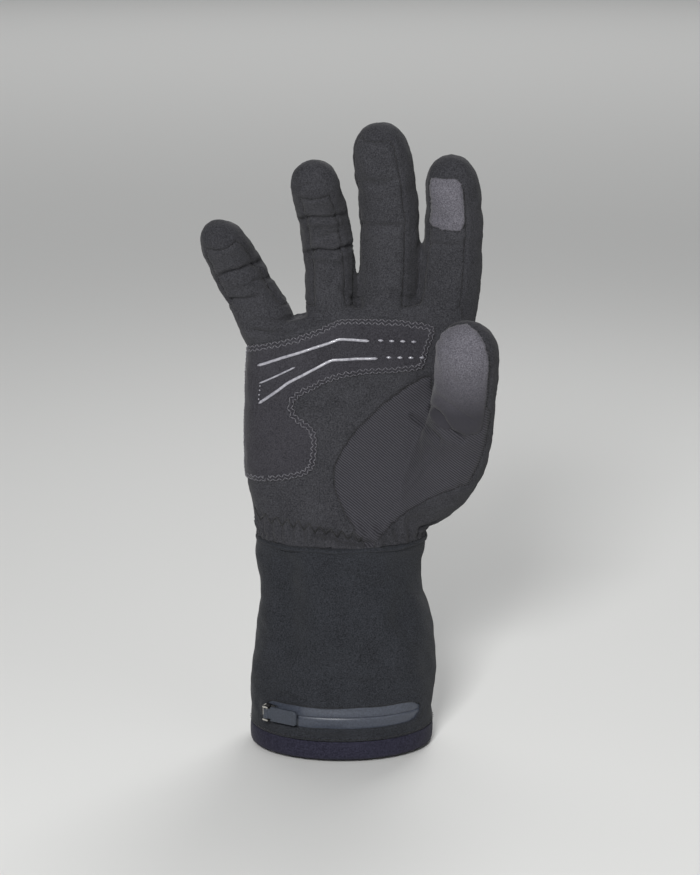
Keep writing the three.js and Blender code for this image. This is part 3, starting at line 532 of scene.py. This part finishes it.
def shaped_hand():
    """One closed skin of the hand, sculpted, with the level of each seam at every point."""
    bm = bmesh.new()
    at = np.concatenate([[-0.004], np.linspace(0, 1, 70)])
    angle = np.linspace(0, 2 * math.pi, 121)
    rings = np.array([palm_points(max(share, 0), angle) for share in at])
    rings[0, :, 2] -= 3
    lofted(bm, rings, (True, True))
    for stall in STALL.values():
        lofted(bm, stall.rings(48), (True, True))
    rough = meshed("rough_hand", bm)
    holder = bpy.data.objects.new("rough_hand", rough)
    bpy.context.scene.collection.objects.link(holder)
    remesh = holder.modifiers.new("voxels", "REMESH")
    remesh.mode, remesh.voxel_size = "VOXEL", VOXEL * MM
    ready = holder.evaluated_get(bpy.context.evaluated_depsgraph_get())
    mesh = bpy.data.meshes.new_from_object(ready)
    bpy.data.objects.remove(holder)
    bpy.data.meshes.remove(rough)
    edges = edges_of(mesh)
    set_points(mesh, evened(points_of(mesh), edges, 9))
    points, normals = points_of(mesh), normals_of(mesh)

    levels = seam_levels(points)
    tree = surface_tree(mesh)
    towards = unit(VIEW_FROM - points)
    visible = (normals * towards).sum(1) > 0.02
    for i in np.nonzero(visible)[0]:
        start = points[i] + normals[i] * 0.6 + towards[i] * 0.4
        if tree.ray_cast(Vector(start), Vector(towards[i]), 400)[0] is not None:
            visible[i] = False
    visible = evened(visible.astype(float)[:, None], edges, 2)[:, 0]

    height = creased(points, normals, visible, CREASES)
    for key, depth in (("gore", 0.5), ("front", 0.35)):
        height -= depth * np.exp(-(levels[key] / 0.8) ** 2)
        height += 0.22 * np.exp(-((np.abs(levels[key]) - 2.2) / 1.1) ** 2)
    wrist = np.exp(-((points[:, 2] - 106.5) / 5.5) ** 2)
    around = np.arctan2(points[:, 1] * 1.5, points[:, 0])
    folds = np.abs(np.cos(19 * around + 0.8 * np.sin(3 * around) + (points[:, 2] - 106) * 0.14))
    height += 2.3 * wrist * (folds - 0.6)
    height -= 0.9 * np.exp(-((points[:, 2] - 102.2) / 1.6) ** 2)
    height += 0.28 * ripple(points, 9, 3) + 0.12 * ripple(points, 4, 5)
    set_points(mesh, points + normals * height[:, None])
    HAND.update(mesh=mesh, edges=edges)
    return mesh


def seam_levels(points):
    """How far each point is inside the front panel, the gore, the patch and the pads, in millimetres."""
    place = points[:, [0, 2]]
    up = (points[:, 2] - PALM_BASE) / PALM_LENGTH
    on = np.clip(up, 0, 1)
    across = (points[:, 0] - PALM["shift"](on) * PALM_WIDTH) / (PALM["width"](on) * PALM_WIDTH / 2)
    located = {name: stall.locate(points) for name, stall in STALL.items()}
    edge = np.interp(up, [-0.1, 0.03, 0.5, 0.97], [0.3, 0.3, 0.92, 0.95])
    front = np.minimum.reduce([-points[:, 1], (0.97 - up) * PALM_LENGTH, (edge - across) * PALM_WIDTH / 2])

    def wedge(name, start, stop, left, right, corner=0.0):
        stall, (share, angle, ratio) = STALL[name], located[name]
        arc = np.radians(np.where(angle < 0, left + angle, right - angle)) * stall.width / 2
        near = (1.32 - ratio) * stall.width / 2
        sides = np.array([arc, near, (share - start) * stall.arc, (stop - share) * stall.arc])
        if corner:
            return corner - np.sqrt((np.clip(corner - sides, 0, None) ** 2).sum(0))
        return sides.min(0)

    for name in ("little", "ring", "middle", "index"):
        stall = STALL[name]
        front = np.maximum(front, wedge(name, WEDGE_START, stall.tip_seam, stall.front, stall.front))
    thumb = STALL["thumb"]
    share, angle, ratio = located["thumb"]
    free = np.minimum((1.12 - ratio) * thumb.width / 2, (share - 0.5) * thumb.arc)
    front = np.minimum(front, -free)
    low = thumb.centres[0]
    high = thumb.row(thumb.centres, THUMB_WEDGE_START)
    slope = math.atan2(high[1] - low[1], high[0] - low[0])
    before = (points[:, 0] - low[0]) * math.sin(slope) - (points[:, 1] - low[1]) * math.cos(slope)
    gore = np.minimum(outline_distance(place, rounded(palm_place(GORE_OUTLINE))), before)
    gore = np.maximum(gore, wedge("thumb", THUMB_WEDGE_START, thumb.tip_seam, thumb.front, thumb.front))
    levels = {"front": front, "gore": gore}
    patch = np.minimum(outline_distance(place, rounded(palm_place(PATCH_OUTLINE))), -points[:, 1] - 1.5)
    levels["patch"] = np.minimum(patch, -gore - 0.6)
    for name, (stall, start, stop, left, right) in PADS.items():
        levels[name] = wedge(stall, start, stop, left, right, 3.5)
    return levels


# --- Stitches and raised lines ---

def surface_tree(mesh):
    return BVHTree.FromPolygons([tuple(p) for p in points_of(mesh)],
                                [tuple(face.vertices) for face in mesh.polygons])


def dropped(tree, place, lift):
    """Points of the front view laid onto a surface from in front, with its normals there."""
    spots, ways = [], []
    for x, z in place:
        spot, way, _, _ = tree.ray_cast(Vector((x, -200, z)), Vector((0, 1, 0)), 400)
        if spot is not None:
            spots.append(np.array(spot) + np.array(way) * lift)
            ways.append(np.array(way))
    return np.array(spots), np.array(ways)


def resampled(line, step):
    line = np.asarray(line, float)
    reach = np.concatenate([[0], np.cumsum(np.linalg.norm(np.diff(line, axis=0), axis=1))])
    places = np.linspace(0, reach[-1], max(2, int(round(reach[-1] / step)) + 1))
    return np.stack([np.interp(places, reach, line[:, k]) for k in range(line.shape[1])], -1)


def stroke(bm, spots, ways, width, height, sides=8):
    """A raised line along points of a surface, with a rounded section and closed ends."""
    side = unit(np.cross(unit(np.gradient(spots, axis=0), 1e-9), ways), 1e-9)
    angle = np.linspace(0, 2 * math.pi, sides + 1)
    ends = np.ones(len(spots))
    ends[[0, -1]] = 0.35
    rings = (spots[:, None] + np.cos(angle)[None, :, None] * side[:, None] * width / 2 * ends[:, None, None]
             + np.sin(angle)[None, :, None] * ways[:, None] * height * ends[:, None, None])
    lofted(bm, rings, (True, True))


def stitched(bm, spots, ways, length, width, zigzag=0.0):
    """Short threads along a line on a surface; zigzag swings them from side to side."""
    along = unit(np.gradient(spots, axis=0), 1e-9)
    side = np.cross(along, ways)
    for i in range(len(spots) - 1):
        if zigzag:
            swing = zigzag / 2 if i % 2 else -zigzag / 2
            ends = (spots[i] + side[i] * swing, spots[i + 1] - side[i + 1] * swing)
        else:
            way = along[i] * length / 2
            ends = (spots[i] - way, spots[i] + way)
        middle = (ends[0] + ends[1]) / 2 + ways[i] * width * 0.45
        run = np.array([ends[0], middle, ends[1]])
        stroke(bm, run, np.array([ways[i]] * 3), width, width * 0.5, sides=4)


def rim_loops(mesh):
    """The open edges of a mesh as ordered lists of its vertices."""
    bm = bmesh.new()
    bm.from_mesh(mesh)
    bm.edges.ensure_lookup_table()
    left = dict.fromkeys(edge for edge in bm.edges if edge.is_boundary)
    loops = []
    while left:
        edge = next(iter(left))
        del left[edge]
        chain = [edge.verts[0], edge.verts[1]]
        grown = True
        while grown:
            grown = False
            for following in chain[-1].link_edges:
                if following in left:
                    del left[following]
                    chain.append(following.other_vert(chain[-1]))
                    grown = True
                    break
        loops.append((np.array([v.co[:] for v in chain]) / MM, np.array([v.normal[:] for v in chain])))
    bm.free()
    return loops


# --- Materials ---

def linear(code):
    """An sRGB hex colour as linear values."""
    parts = [int(code[i:i + 2], 16) / 255 for i in (0, 2, 4)]
    return tuple(p / 12.92 if p <= 0.04045 else ((p + 0.055) / 1.055) ** 2.4 for p in parts) + (1.0,)


def add(tree, kind, settings=None, links=None):
    """A node with its settings and the outputs that feed its inputs."""
    made = tree.nodes.new(kind)
    for key, value in (settings or {}).items():
        if isinstance(key, str) and hasattr(made, key):
            setattr(made, key, value)
        else:
            made.inputs[key].default_value = value
    for key, output in (links or {}).items():
        tree.links.new(output, made.inputs[key])
    return made


def surface(name, settings):
    material = bpy.data.materials.new(name)
    material.use_nodes = True
    tree = material.node_tree
    tree.nodes.clear()
    shader = add(tree, "ShaderNodeBsdfPrincipled", settings)
    add(tree, "ShaderNodeOutputMaterial", links={"Surface": shader.outputs["BSDF"]})
    place = add(tree, "ShaderNodeTexCoord").outputs["Object"]
    return material, tree, shader, place


def feed(tree, shader, colour=None, rough=None, bump=None):
    for key, output in (("Base Color", colour), ("Roughness", rough), ("Normal", bump)):
        if output is not None:
            tree.links.new(output, shader.inputs[key])


def toned(tree, factor, dark, light, low):
    """A ramp from dark to light, even about the middle of its factor."""
    ramp = add(tree, "ShaderNodeValToRGB", links={"Fac": factor})
    for element, place, code in zip(ramp.color_ramp.elements, (low, 1 - low), (dark, light)):
        element.position, element.color = place, linear(code)
    return ramp.outputs["Color"]


def fabric(name, dark, light, pitch, depth, roughness=0.95, sheen=0.06, rib=0.0, turn=0.0, fade=False):
    """Knitted or woven cloth: loops at the pitch, soft unevenness of tone, ribs where it has them, and a
    fade into the gore's tone low down on the thumb's pad."""
    material, tree, shader, place = surface(name, {
        "Sheen Weight": sheen, "Sheen Roughness": 0.5, "Specular IOR Level": 0.15, "Roughness": roughness})
    loops = add(tree, "ShaderNodeTexNoise", {"Scale": 1 / (pitch * MM), "Detail": 3.0, "Roughness": 0.6},
                {"Vector": place})
    patchy = add(tree, "ShaderNodeTexNoise", {"Scale": 90.0, "Detail": 4.0}, {"Vector": place})
    relief = loops.outputs["Fac"]
    if rib:
        turned = add(tree, "ShaderNodeMapping", {"Rotation": (0, math.radians(turn), 0)}, {"Vector": place})
        ribs = add(tree, "ShaderNodeTexWave", {"Scale": 0.314 / (rib * MM), "Distortion": 1.2, "Detail": 2.0,
                                               "Detail Scale": 1.5}, {"Vector": turned.outputs["Vector"]})
        both = add(tree, "ShaderNodeMix", {"data_type": "FLOAT", 0: 0.62},
                   {2: relief, 3: ribs.outputs["Fac"]})
        relief = both.outputs[0]
    mixed = add(tree, "ShaderNodeMix", {"data_type": "FLOAT", 0: 0.14},
                {2: relief, 3: patchy.outputs["Fac"]})
    colour = toned(tree, mixed.outputs[0], dark, light, 0.36)
    bump = add(tree, "ShaderNodeBump", {"Strength": 0.8, "Distance": depth * MM}, {"Height": relief})
    if fade:
        axes = add(tree, "ShaderNodeSeparateXYZ", links={"Vector": place})
        low = add(tree, "ShaderNodeMapRange", {"From Min": 0.166, "From Max": 0.19},
                  {"Value": axes.outputs["Z"]})
        faded = add(tree, "ShaderNodeMix", {"data_type": "RGBA", 6: linear("323136")},
                    {0: low.outputs["Result"], 7: colour})
        colour = faded.outputs[2]
    feed(tree, shader, colour=colour, bump=bump.outputs["Normal"])
    return material


def moulded(name, dark, light, settings, grain=0.6, depth=0.03):
    """Rubber, laminate or metal: an even body with a faint grain and small changes of gloss."""
    material, tree, shader, place = surface(name, settings)
    noise = add(tree, "ShaderNodeTexNoise", {"Scale": 1 / (grain * MM), "Detail": 3.0}, {"Vector": place})
    gloss = add(tree, "ShaderNodeMapRange", {"To Min": settings["Roughness"] * 0.85,
                                             "To Max": min(1, settings["Roughness"] * 1.2)},
                {"Value": noise.outputs["Fac"]})
    bump = add(tree, "ShaderNodeBump", {"Strength": 0.5, "Distance": depth * MM},
               {"Height": noise.outputs["Fac"]})
    feed(tree, shader, colour=toned(tree, noise.outputs["Fac"], dark, light, 0.35),
         rough=gloss.outputs["Result"], bump=bump.outputs["Normal"])
    return material


MATERIALS = {}


def make_materials():
    MATERIALS.update({
        # Stretch polyester knit: fine matt loops about half a millimetre apart.
        "knit": fabric("stretch_polyester_knit", "222225", "414145", 0.55, 0.3),
        # The same knit on the back and the fingers' sides, made a little darker as painted shade for the
        # sides that turn away from the light.
        "back": fabric("stretch_knit_painted_shade", "202023", "3d3d41", 0.55, 0.3),
        # Ribbed knit: fine slanted ribs about a millimetre apart.
        "gore": fabric("ribbed_polyester_knit", "29292d", "424146", 0.8, 0.22, rib=1.0, turn=52),
        # Synthetic suede: a short dense nap without a visible weave.
        "suede": fabric("synthetic_suede", "232226", "3e3d42", 0.5, 0.2, sheen=0.12),
        # Conductive knit for touch screens: pale grey threads among dark ones.
        "touch": fabric("conductive_knit", "434248", "6c6a71", 0.55, 0.25, sheen=0.1, fade=True),
        # Softshell: a tight matt weave bonded to fleece.
        "softshell": fabric("softshell_weave", "1a1b1e", "34363b", 0.55, 0.25),
        # Folded binding at the hem: closely woven with a blue cast.
        "binding": fabric("woven_binding", "1d1c28", "2f2e3c", 0.8, 0.2),
        # Polyester thread: twisted and faintly glossy.
        "thread": moulded("polyester_thread", "48474d", "6b6a71",
                          {"Roughness": 0.6, "Sheen Weight": 0.2}, 0.4),
        # The same thread in black, on the seams and the hem.
        "dark_thread": moulded("black_polyester_thread", "0c0c0e", "18181b",
                               {"Roughness": 0.65, "Sheen Weight": 0.1}, 0.4),
        # Silicone print: clear-grey, glossy and slightly raised.
        "silicone": moulded("printed_silicone", "85848c", "a4a3aa",
                            {"Roughness": 0.28, "IOR": 1.43, "Coat Weight": 0.3}, 1.5, 0.05),
        # Coated zip tape: polyurethane film, satin with soft highlights.
        "tape": moulded("polyurethane_film", "353943", "424752",
                        {"Roughness": 0.4, "IOR": 1.5, "Coat Weight": 0.15}, 0.8, 0.02),
        # Plated steel: polished, bright edges, darker in its recesses.
        "steel": moulded("nickel_plated_steel", "a7a49e", "cfccc6",
                         {"Roughness": 0.24, "Metallic": 1.0}, 1.2, 0.02),
        # Moulded rubber tab: satin with a faint grain.
        "rubber": moulded("moulded_tpu", "2c3038", "3c414b", {"Roughness": 0.45, "IOR": 1.5}, 0.5, 0.03),
    })


# --- Settings ---

class GloveSettings(bpy.types.PropertyGroup):
    """Sizes and light that a user would change."""
    stitch_pitch: FloatProperty(name="Stitch pitch", description="Distance between stitches on the seams",
                                default=0.0021, unit="LENGTH")
    grip_width: FloatProperty(name="Grip width", description="Width of the printed grip lines",
                              default=0.0013, unit="LENGTH")
    key_power: FloatProperty(name="Key light", description="Power of the main soft light", default=15.0,
                             unit="POWER")
    floor_colour: FloatVectorProperty(name="Floor colour", description="Colour of the plain floor", size=4,
                                      subtype="COLOR", default=linear("d9d9d7"))


def settings():
    return bpy.context.scene.heated_glove


# --- Pieces ---

def declared(piece, replaces=None, body="glove"):
    """A piece that moves with a body and may stand for one of its solids."""
    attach(piece, body)
    if replaces:
        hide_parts(replaces)
    return piece


class MakeHand(bpy.types.Operator):
    """Sculpts the hand and parts it into the palm, back and thumb panels."""
    bl_idname = "glove.hand"
    bl_label = "Hand panels"

    def execute(self, context):
        mesh = shaped_hand()
        points, edges = points_of(mesh), HAND["edges"]
        levels = seam_levels(points)
        points, gore = snapped(points, edges, levels["gore"])
        front = levels["front"]
        held = np.abs(gore) < 1e-9
        points, front = snapped(points, edges, np.where(held, np.sign(front) * 5, front))
        inside = face_level(mesh, gore) > 0
        ahead = (face_level(mesh, front) > 0) & ~inside
        heights = face_level(mesh, points[:, 2]) / face_level(mesh, np.ones(len(points)))
        kept = heights > PALM_BASE + 0.2
        set_points(mesh, points)
        for name, faces, material, slot in (
                ("palm_panel", ahead, "knit", "stretch_knit"),
                ("thumb_panel", inside, "gore", "ribbed_knit"),
                # The back panel takes the darker copy of the knit: painted shade on the back and the fingers'
                # sides.
                ("back_panel", ~ahead & ~inside, "back", "stretch_knit")):
            piece = shell(part_of(mesh, name + "_cloth", faces & kept, MATERIALS[material]), HAND_WALL)
            HAND[name] = declared(piece, name)
        HAND["tree"] = surface_tree(mesh)
        return {"FINISHED"}


def overlay(name, level, lift, thickness, material):
    """A piece of cloth sewn on the hand, where the level is above zero."""
    mesh, edges = HAND["mesh"], HAND["edges"]
    points, normals = points_of(mesh), normals_of(mesh)
    points, level = snapped(points, edges, level)
    crown = np.clip(1 - np.exp(-np.clip(level, 0, None) / 0.7), 0, 1)
    points = points + normals * (lift + thickness * crown)[:, None]
    piece = part_of(mesh, name + "_cloth", face_level(mesh, level) > 0, MATERIALS[material], points)
    return declared(shell(piece, thickness * 0.7 + lift), name)


class MakePatch(bpy.types.Operator):
    """Sews the suede patch on the palm and the touch pads on the index finger and the thumb."""
    bl_idname = "glove.patch"
    bl_label = "Patch and pads"

    def execute(self, context):
        levels = seam_levels(points_of(HAND["mesh"]))
        HAND["patch"] = overlay("palm_patch", levels["patch"], 0.25, 0.65, "suede")
        for name in PADS:
            HAND[name] = overlay(name, levels[name], 0.15, 0.5, "touch")
        return {"FINISHED"}


class MakeGrips(bpy.types.Operator):
    """Prints the silicone grip lines and dashes on the patch."""
    bl_idname = "glove.grips"
    bl_label = "Grip lines"

    def execute(self, context):
        tree = surface_tree(HAND["patch"].data)
        width = settings().grip_width / MM
        lines = {name: palm_place(line) for name, line in GRIP_LINES.items()}
        for name, (start, end) in GRIP_DASHES.items():
            start, end = palm_place((start, end))
            for i in range(4):
                ends = [start + (end - start) * (i + step) / 3.45 for step in (0, 0.45)]
                lines[f"{name}_{i + 1}"] = np.array(ends)
        for name, line in lines.items():
            bm = bmesh.new()
            curve = resampled(line, 1.2)
            if len(curve) > 8:
                curve[1:-1] = (curve[:-2] + 2 * curve[1:-1] + curve[2:]) / 4
            if name == "grip_edge":
                for spot in resampled(line, 1.8):
                    spots, ways = dropped(tree, spot + np.array([(0, -0.35), (0, 0.0), (0, 0.35)]), 0.05)
                    if len(spots) == 3:
                        stroke(bm, spots, ways, 0.8, 0.35)
            else:
                spots, ways = dropped(tree, curve, 0.05)
                thin = 0.6 if name == "grip_short" else 1.0
                stroke(bm, spots, ways, width * thin, 0.4)
            declared(fresh(name + "_print", bm, MATERIALS["silicone"]), name)
        return {"FINISHED"}


class MakeStitches(bpy.types.Operator):
    """Sews the seams: a row of stitches beside the panels' edges and zigzag rows on the patch."""
    bl_idname = "glove.stitches"
    bl_label = "Stitches"

    def execute(self, context):
        pitch = settings().stitch_pitch / MM
        for name in ("palm_panel", "thumb_panel", "palm_patch", "index_pad"):
            piece = HAND[{"palm_patch": "patch"}.get(name, name)]
            bm = bmesh.new()
            for spots, ways in rim_loops(piece.data):
                if len(spots) < 30:
                    continue
                both = np.hstack([spots, ways])
                both[1:-1] = (both[:-2] + both[1:-1] * 2 + both[2:]) / 4
                even = resampled(both, pitch if name != "palm_patch" else PATCH_STITCH)
                line, way = even[:, :3], unit(even[:, 3:])
                keep = line[:, 2] > PALM_BASE + 3
                line, way = line[keep], way[keep]
                if name == "palm_patch":
                    inward = np.cross(way, unit(np.gradient(line, axis=0), 1e-9))
                    sign = 1 if inside_first(piece, line, inward) else -1
                    for off in (0.7, 2.5):
                        row = line + inward * sign * off
                        row, ways_there = nearest(HAND["patch_tree"], row, 0.12)
                        stitched(bm, row, ways_there, 1.0, 0.5, zigzag=1.3)
                else:
                    stitched(bm, line + way * 0.05, way, pitch * 0.62, 0.36)
            colour = "thread" if name == "palm_patch" else "dark_thread"
            declared(fresh(name + "_stitches", bm, MATERIALS[colour]))
        bm = bmesh.new()
        x = np.arange(-41, 10, 0.5)
        rise = np.abs((x / 5.0) % 1 - 0.5) * 8 - 2
        ramp = np.interp(x, [-41, -20, 10], [111.5, 109.5, 104.5])
        spots, ways = dropped(HAND["tree"], np.stack([x, ramp + rise], -1), 0.15)
        stroke(bm, spots, ways, 0.75, 0.4, sides=6)
        declared(fresh("wrist_shirring", bm, MATERIALS["dark_thread"]))
        return {"FINISHED"}


def inside_first(piece, line, inward):
    """Whether steps along inward lead onto the piece rather than off it."""
    HAND["patch_tree"] = surface_tree(piece.data)
    gaps = [0.0, 0.0]
    for i in range(0, len(line), 5):
        for k, sign in enumerate((1, -1)):
            gaps[k] += HAND["patch_tree"].find_nearest(Vector(line[i] + inward[i] * sign * 2))[3]
    return gaps[0] < gaps[1]


def nearest(tree, points, lift):
    """The closest places on a surface, lifted off it, with its normals there."""
    spots, ways = [], []
    for point in points:
        spot, way, _, _ = tree.find_nearest(Vector(point))
        spots.append(np.array(spot) + np.array(way) * lift)
        ways.append(np.array(way))
    return np.array(spots), np.array(ways)


def zip_level(points, inset):
    """How far points of the cuff's front are inside the zip's window."""
    middle = CUFF["shift"](ZIP_HEIGHT / CUFF_HEIGHT) * CUFF_WIDTH
    along = np.abs(points[:, 0] - middle) - (ZIP_LENGTH - ZIP_WIDTH) / 2
    off = np.hypot(np.clip(along, 0, None), points[:, 2] - ZIP_HEIGHT)
    return np.where(points[:, 1] < 0, ZIP_WIDTH / 2 - inset - off, -5)


def cuff_relief(mesh, creases):
    """The mesh's points, its normals and the height that creases and unevenness give each point."""
    points, normals = points_of(mesh), normals_of(mesh)
    height = creased(points, normals, points[:, 1] < 8, creases)
    height += 0.5 * ripple(points, 26, 11) + 0.14 * ripple(points, 9, 12)
    up = points[:, 2]
    height *= smoothstep(up, HEM_HEIGHT, HEM_HEIGHT + 8) * (1 - 0.6 * smoothstep(up, 90, 99))
    return points, normals, height


def cuff_sheet(low, high, rows, sides, grown):
    bm = bmesh.new()
    angle = np.linspace(0, 2 * math.pi, sides + 1)
    rings = np.array([cuff_points(height, angle, grown) for height in np.linspace(low, high, rows)])
    lofted(bm, rings)
    return meshed("cuff_sheet", bm)


class MakeCuff(bpy.types.Operator):
    """Makes the softshell cuff with its rolled top edge, the welt round the zip's window and the hem."""
    bl_idname = "glove.cuff"
    bl_label = "Cuff and hem"

    def execute(self, context):
        mesh = cuff_sheet(HEM_HEIGHT + GAP, CUFF_HEIGHT, 96, 240, 0)
        points, normals, height = cuff_relief(mesh, CUFF_CREASES)
        height *= CUFF_RELIEF_GAIN
        level = zip_level(points, 0)
        height += 0.35 * np.exp(-((level + 1.3) / 0.9) ** 2) - 0.3 * np.exp(-((level + 3.4) / 1.0) ** 2)
        points, level = snapped(points, edges_of(mesh), level)
        set_points(mesh, points + normals * height[:, None])
        cuff = part_of(mesh, "cuff_cloth", face_level(mesh, level) <= 0, MATERIALS["softshell"])
        declared(shell(cuff, CUFF_WALL), "cuff")
        bm = bmesh.new()
        angle = np.linspace(0, 2 * math.pi, 241)
        turn = np.linspace(0, 2 * math.pi, 13)
        rings = []
        for way in turn:
            ring = cuff_points(CUFF_HEIGHT - 1.1, angle, -0.6 + 1.25 * math.cos(way))
            ring[:, 2] += 1.15 * math.sin(way) + 0.25 * np.sin(9 * angle)
            rings.append(ring)
        lofted(bm, np.array(rings))
        bmesh.ops.remove_doubles(bm, verts=bm.verts, dist=1e-6)
        declared(fresh("cuff_rolled_edge", bm, MATERIALS["softshell"]))
        bm = bmesh.new()
        rows = []
        for share in np.linspace(0, 1, 15):
            bulge = 0.5 * math.sin(math.pi * share) ** 0.5
            rows.append(cuff_points(HEM_HEIGHT * share, angle, -0.2 + bulge))
        lofted(bm, np.array(rows))
        hem = shell(fresh("cuff_hem_binding", bm, MATERIALS["binding"]), HEM_WALL - 0.4)
        declared(hem, "cuff_hem")
        bm = bmesh.new()
        line = resampled(cuff_points(HEM_HEIGHT + 1.3, angle, 0.12), HEM_STITCH)
        stitched(bm, line, unit(line * np.array([1, 1.6, 0])), 1.6, 0.4)
        declared(fresh("hem_stitches", bm, MATERIALS["dark_thread"]))
        return {"FINISHED"}


class MakeZip(bpy.types.Operator):
    """Makes the coated zip tapes with their slit, the slider and the pull."""
    bl_idname = "glove.zip"
    bl_label = "Zip"

    def execute(self, context):
        mesh = cuff_sheet(ZIP_HEIGHT - 8, ZIP_HEIGHT + 8, 65, 480, -0.75)
        points, normals = points_of(mesh), normals_of(mesh)
        off = np.abs(points[:, 2] - ZIP_HEIGHT)
        height = 0.35 * (1 - smoothstep(off, 1.0, 4.6)) - 0.3 * np.exp(-(off / 0.5) ** 2)
        level = zip_level(points, -0.9)
        for name, side in (("zip_tape_upper", 1), ("zip_tape_lower", -1)):
            half = np.minimum(level, side * (points[:, 2] - ZIP_HEIGHT) - 0.01)
            moved, own = snapped(points, edges_of(mesh), half)
            piece = part_of(mesh, name + "_film", face_level(mesh, own) > 0, MATERIALS["tape"],
                            moved + normals * height[:, None])
            declared(shell(piece, 1.0), name)
        for node, material, slot, body, width in (
                ("zip_slider", "steel", "steel", "glove", 0.22),
                ("zip_pull", "rubber", "moulded_rubber", "zip_pull", 0.3)):
            bm = bmesh.new()
            source = bpy.data.objects[node]
            bm.from_mesh(source.data)
            bm.transform(source.matrix_world)
            bmesh.ops.remove_doubles(bm, verts=bm.verts, dist=1e-6)
            bmesh.ops.dissolve_limit(bm, angle_limit=math.radians(3), verts=bm.verts, edges=bm.edges)
            sharp = [edge for edge in bm.edges if len(edge.link_faces) == 2
                     and edge.calc_face_angle(0) > math.radians(35)]
            bmesh.ops.bevel(bm, geom=sharp, offset=width * MM, segments=2, profile=0.5, affect="EDGES",
                            material=-1, clamp_overlap=True)
            declared(fresh(node + "_finished", bm, MATERIALS[material], smooth=False), node, body)
        return {"FINISHED"}


class MakeStage(bpy.types.Operator):
    """Sets the pale floor, the soft studio lights and the camera."""
    bl_idname = "glove.stage"
    bl_label = "Stage"

    def execute(self, context):
        floor_material, _, shader, _ = surface("painted_board", {"Roughness": 0.9})
        shader.inputs["Base Color"].default_value = settings().floor_colour
        bm = bmesh.new()
        bmesh.ops.create_grid(bm, x_segments=1, y_segments=1, size=40)
        bmesh.ops.translate(bm, vec=(0, 0, -0.002), verts=bm.verts)
        floor = fresh("studio_floor", bm, floor_material, smooth=False)
        key = settings().key_power
        aim = Vector((0, 0, 0.15))
        for name, spot, size, power in (
                ("key_light", (-0.22, -1.15, 0.75), 0.3, key * 1.15),
                ("fill_light", (0.9, -0.8, 0.35), 0.8, key * 0.12),
                ("rim_light", (0.25, 0.6, 0.9), 0.4, key * 0.2),
                ("floor_light", (0.0, 5.0, 4.0), 7.0, key * 13)):
            lamp = bpy.data.lights.new(name, "AREA")
            lamp.size, lamp.energy = size, power
            light = bpy.data.objects.new(name, lamp)
            light.location = spot
            if name != "floor_light":
                light.rotation_euler = (aim - Vector(spot)).to_track_quat("-Z", "Y").to_euler()
            context.scene.collection.objects.link(light)
        world = bpy.data.worlds.new("soft_room")
        world.use_nodes = True
        world.node_tree.nodes["Background"].inputs["Color"].default_value = linear("d6d9de")
        world.node_tree.nodes["Background"].inputs["Strength"].default_value = 0.14
        context.scene.world = world
        view = bpy.data.cameras.new("studio_camera")
        view.lens = VIEW_SCALE * SENSOR / FRAME_HEIGHT
        view.clip_start = 0.05
        camera = bpy.data.objects.new("studio_camera", view)
        camera.location = VIEW_FROM * MM
        camera.rotation_euler = (math.radians(90 - VIEW_ELEVATION), 0, 0)
        context.scene.collection.objects.link(camera)
        context.scene.camera = camera
        context.scene.view_settings.view_transform = "Standard"
        return {"FINISHED"}


MAKERS = (MakeHand, MakePatch, MakeGrips, MakeStitches, MakeCuff, MakeZip, MakeStage)


class GlovePanel(bpy.types.Panel):
    """Lists the glove's settings and makers."""
    bl_idname = "VIEW3D_PT_heated_glove"
    bl_label = "Heated glove"
    bl_space_type = "VIEW_3D"
    bl_region_type = "UI"
    bl_category = "Glove"

    def draw(self, context):
        for name in ("stitch_pitch", "grip_width", "key_power", "floor_colour"):
            self.layout.prop(context.scene.heated_glove, name)
        for maker in MAKERS:
            self.layout.operator(maker.bl_idname)


CLASSES = (GloveSettings, *MAKERS, GlovePanel)


def register():
    for kind in CLASSES:
        bpy.utils.register_class(kind)
    bpy.types.Scene.heated_glove = PointerProperty(type=GloveSettings)


def unregister():
    del bpy.types.Scene.heated_glove
    for kind in reversed(CLASSES):
        bpy.utils.unregister_class(kind)


def main():
    register()
    make_materials()
    bpy.ops.glove.hand()
    bpy.ops.glove.patch()
    bpy.ops.glove.grips()
    bpy.ops.glove.stitches()
    bpy.ops.glove.cuff()
    bpy.ops.glove.zip()
    bpy.ops.glove.stage()


if __name__ == "__main__":
    main()
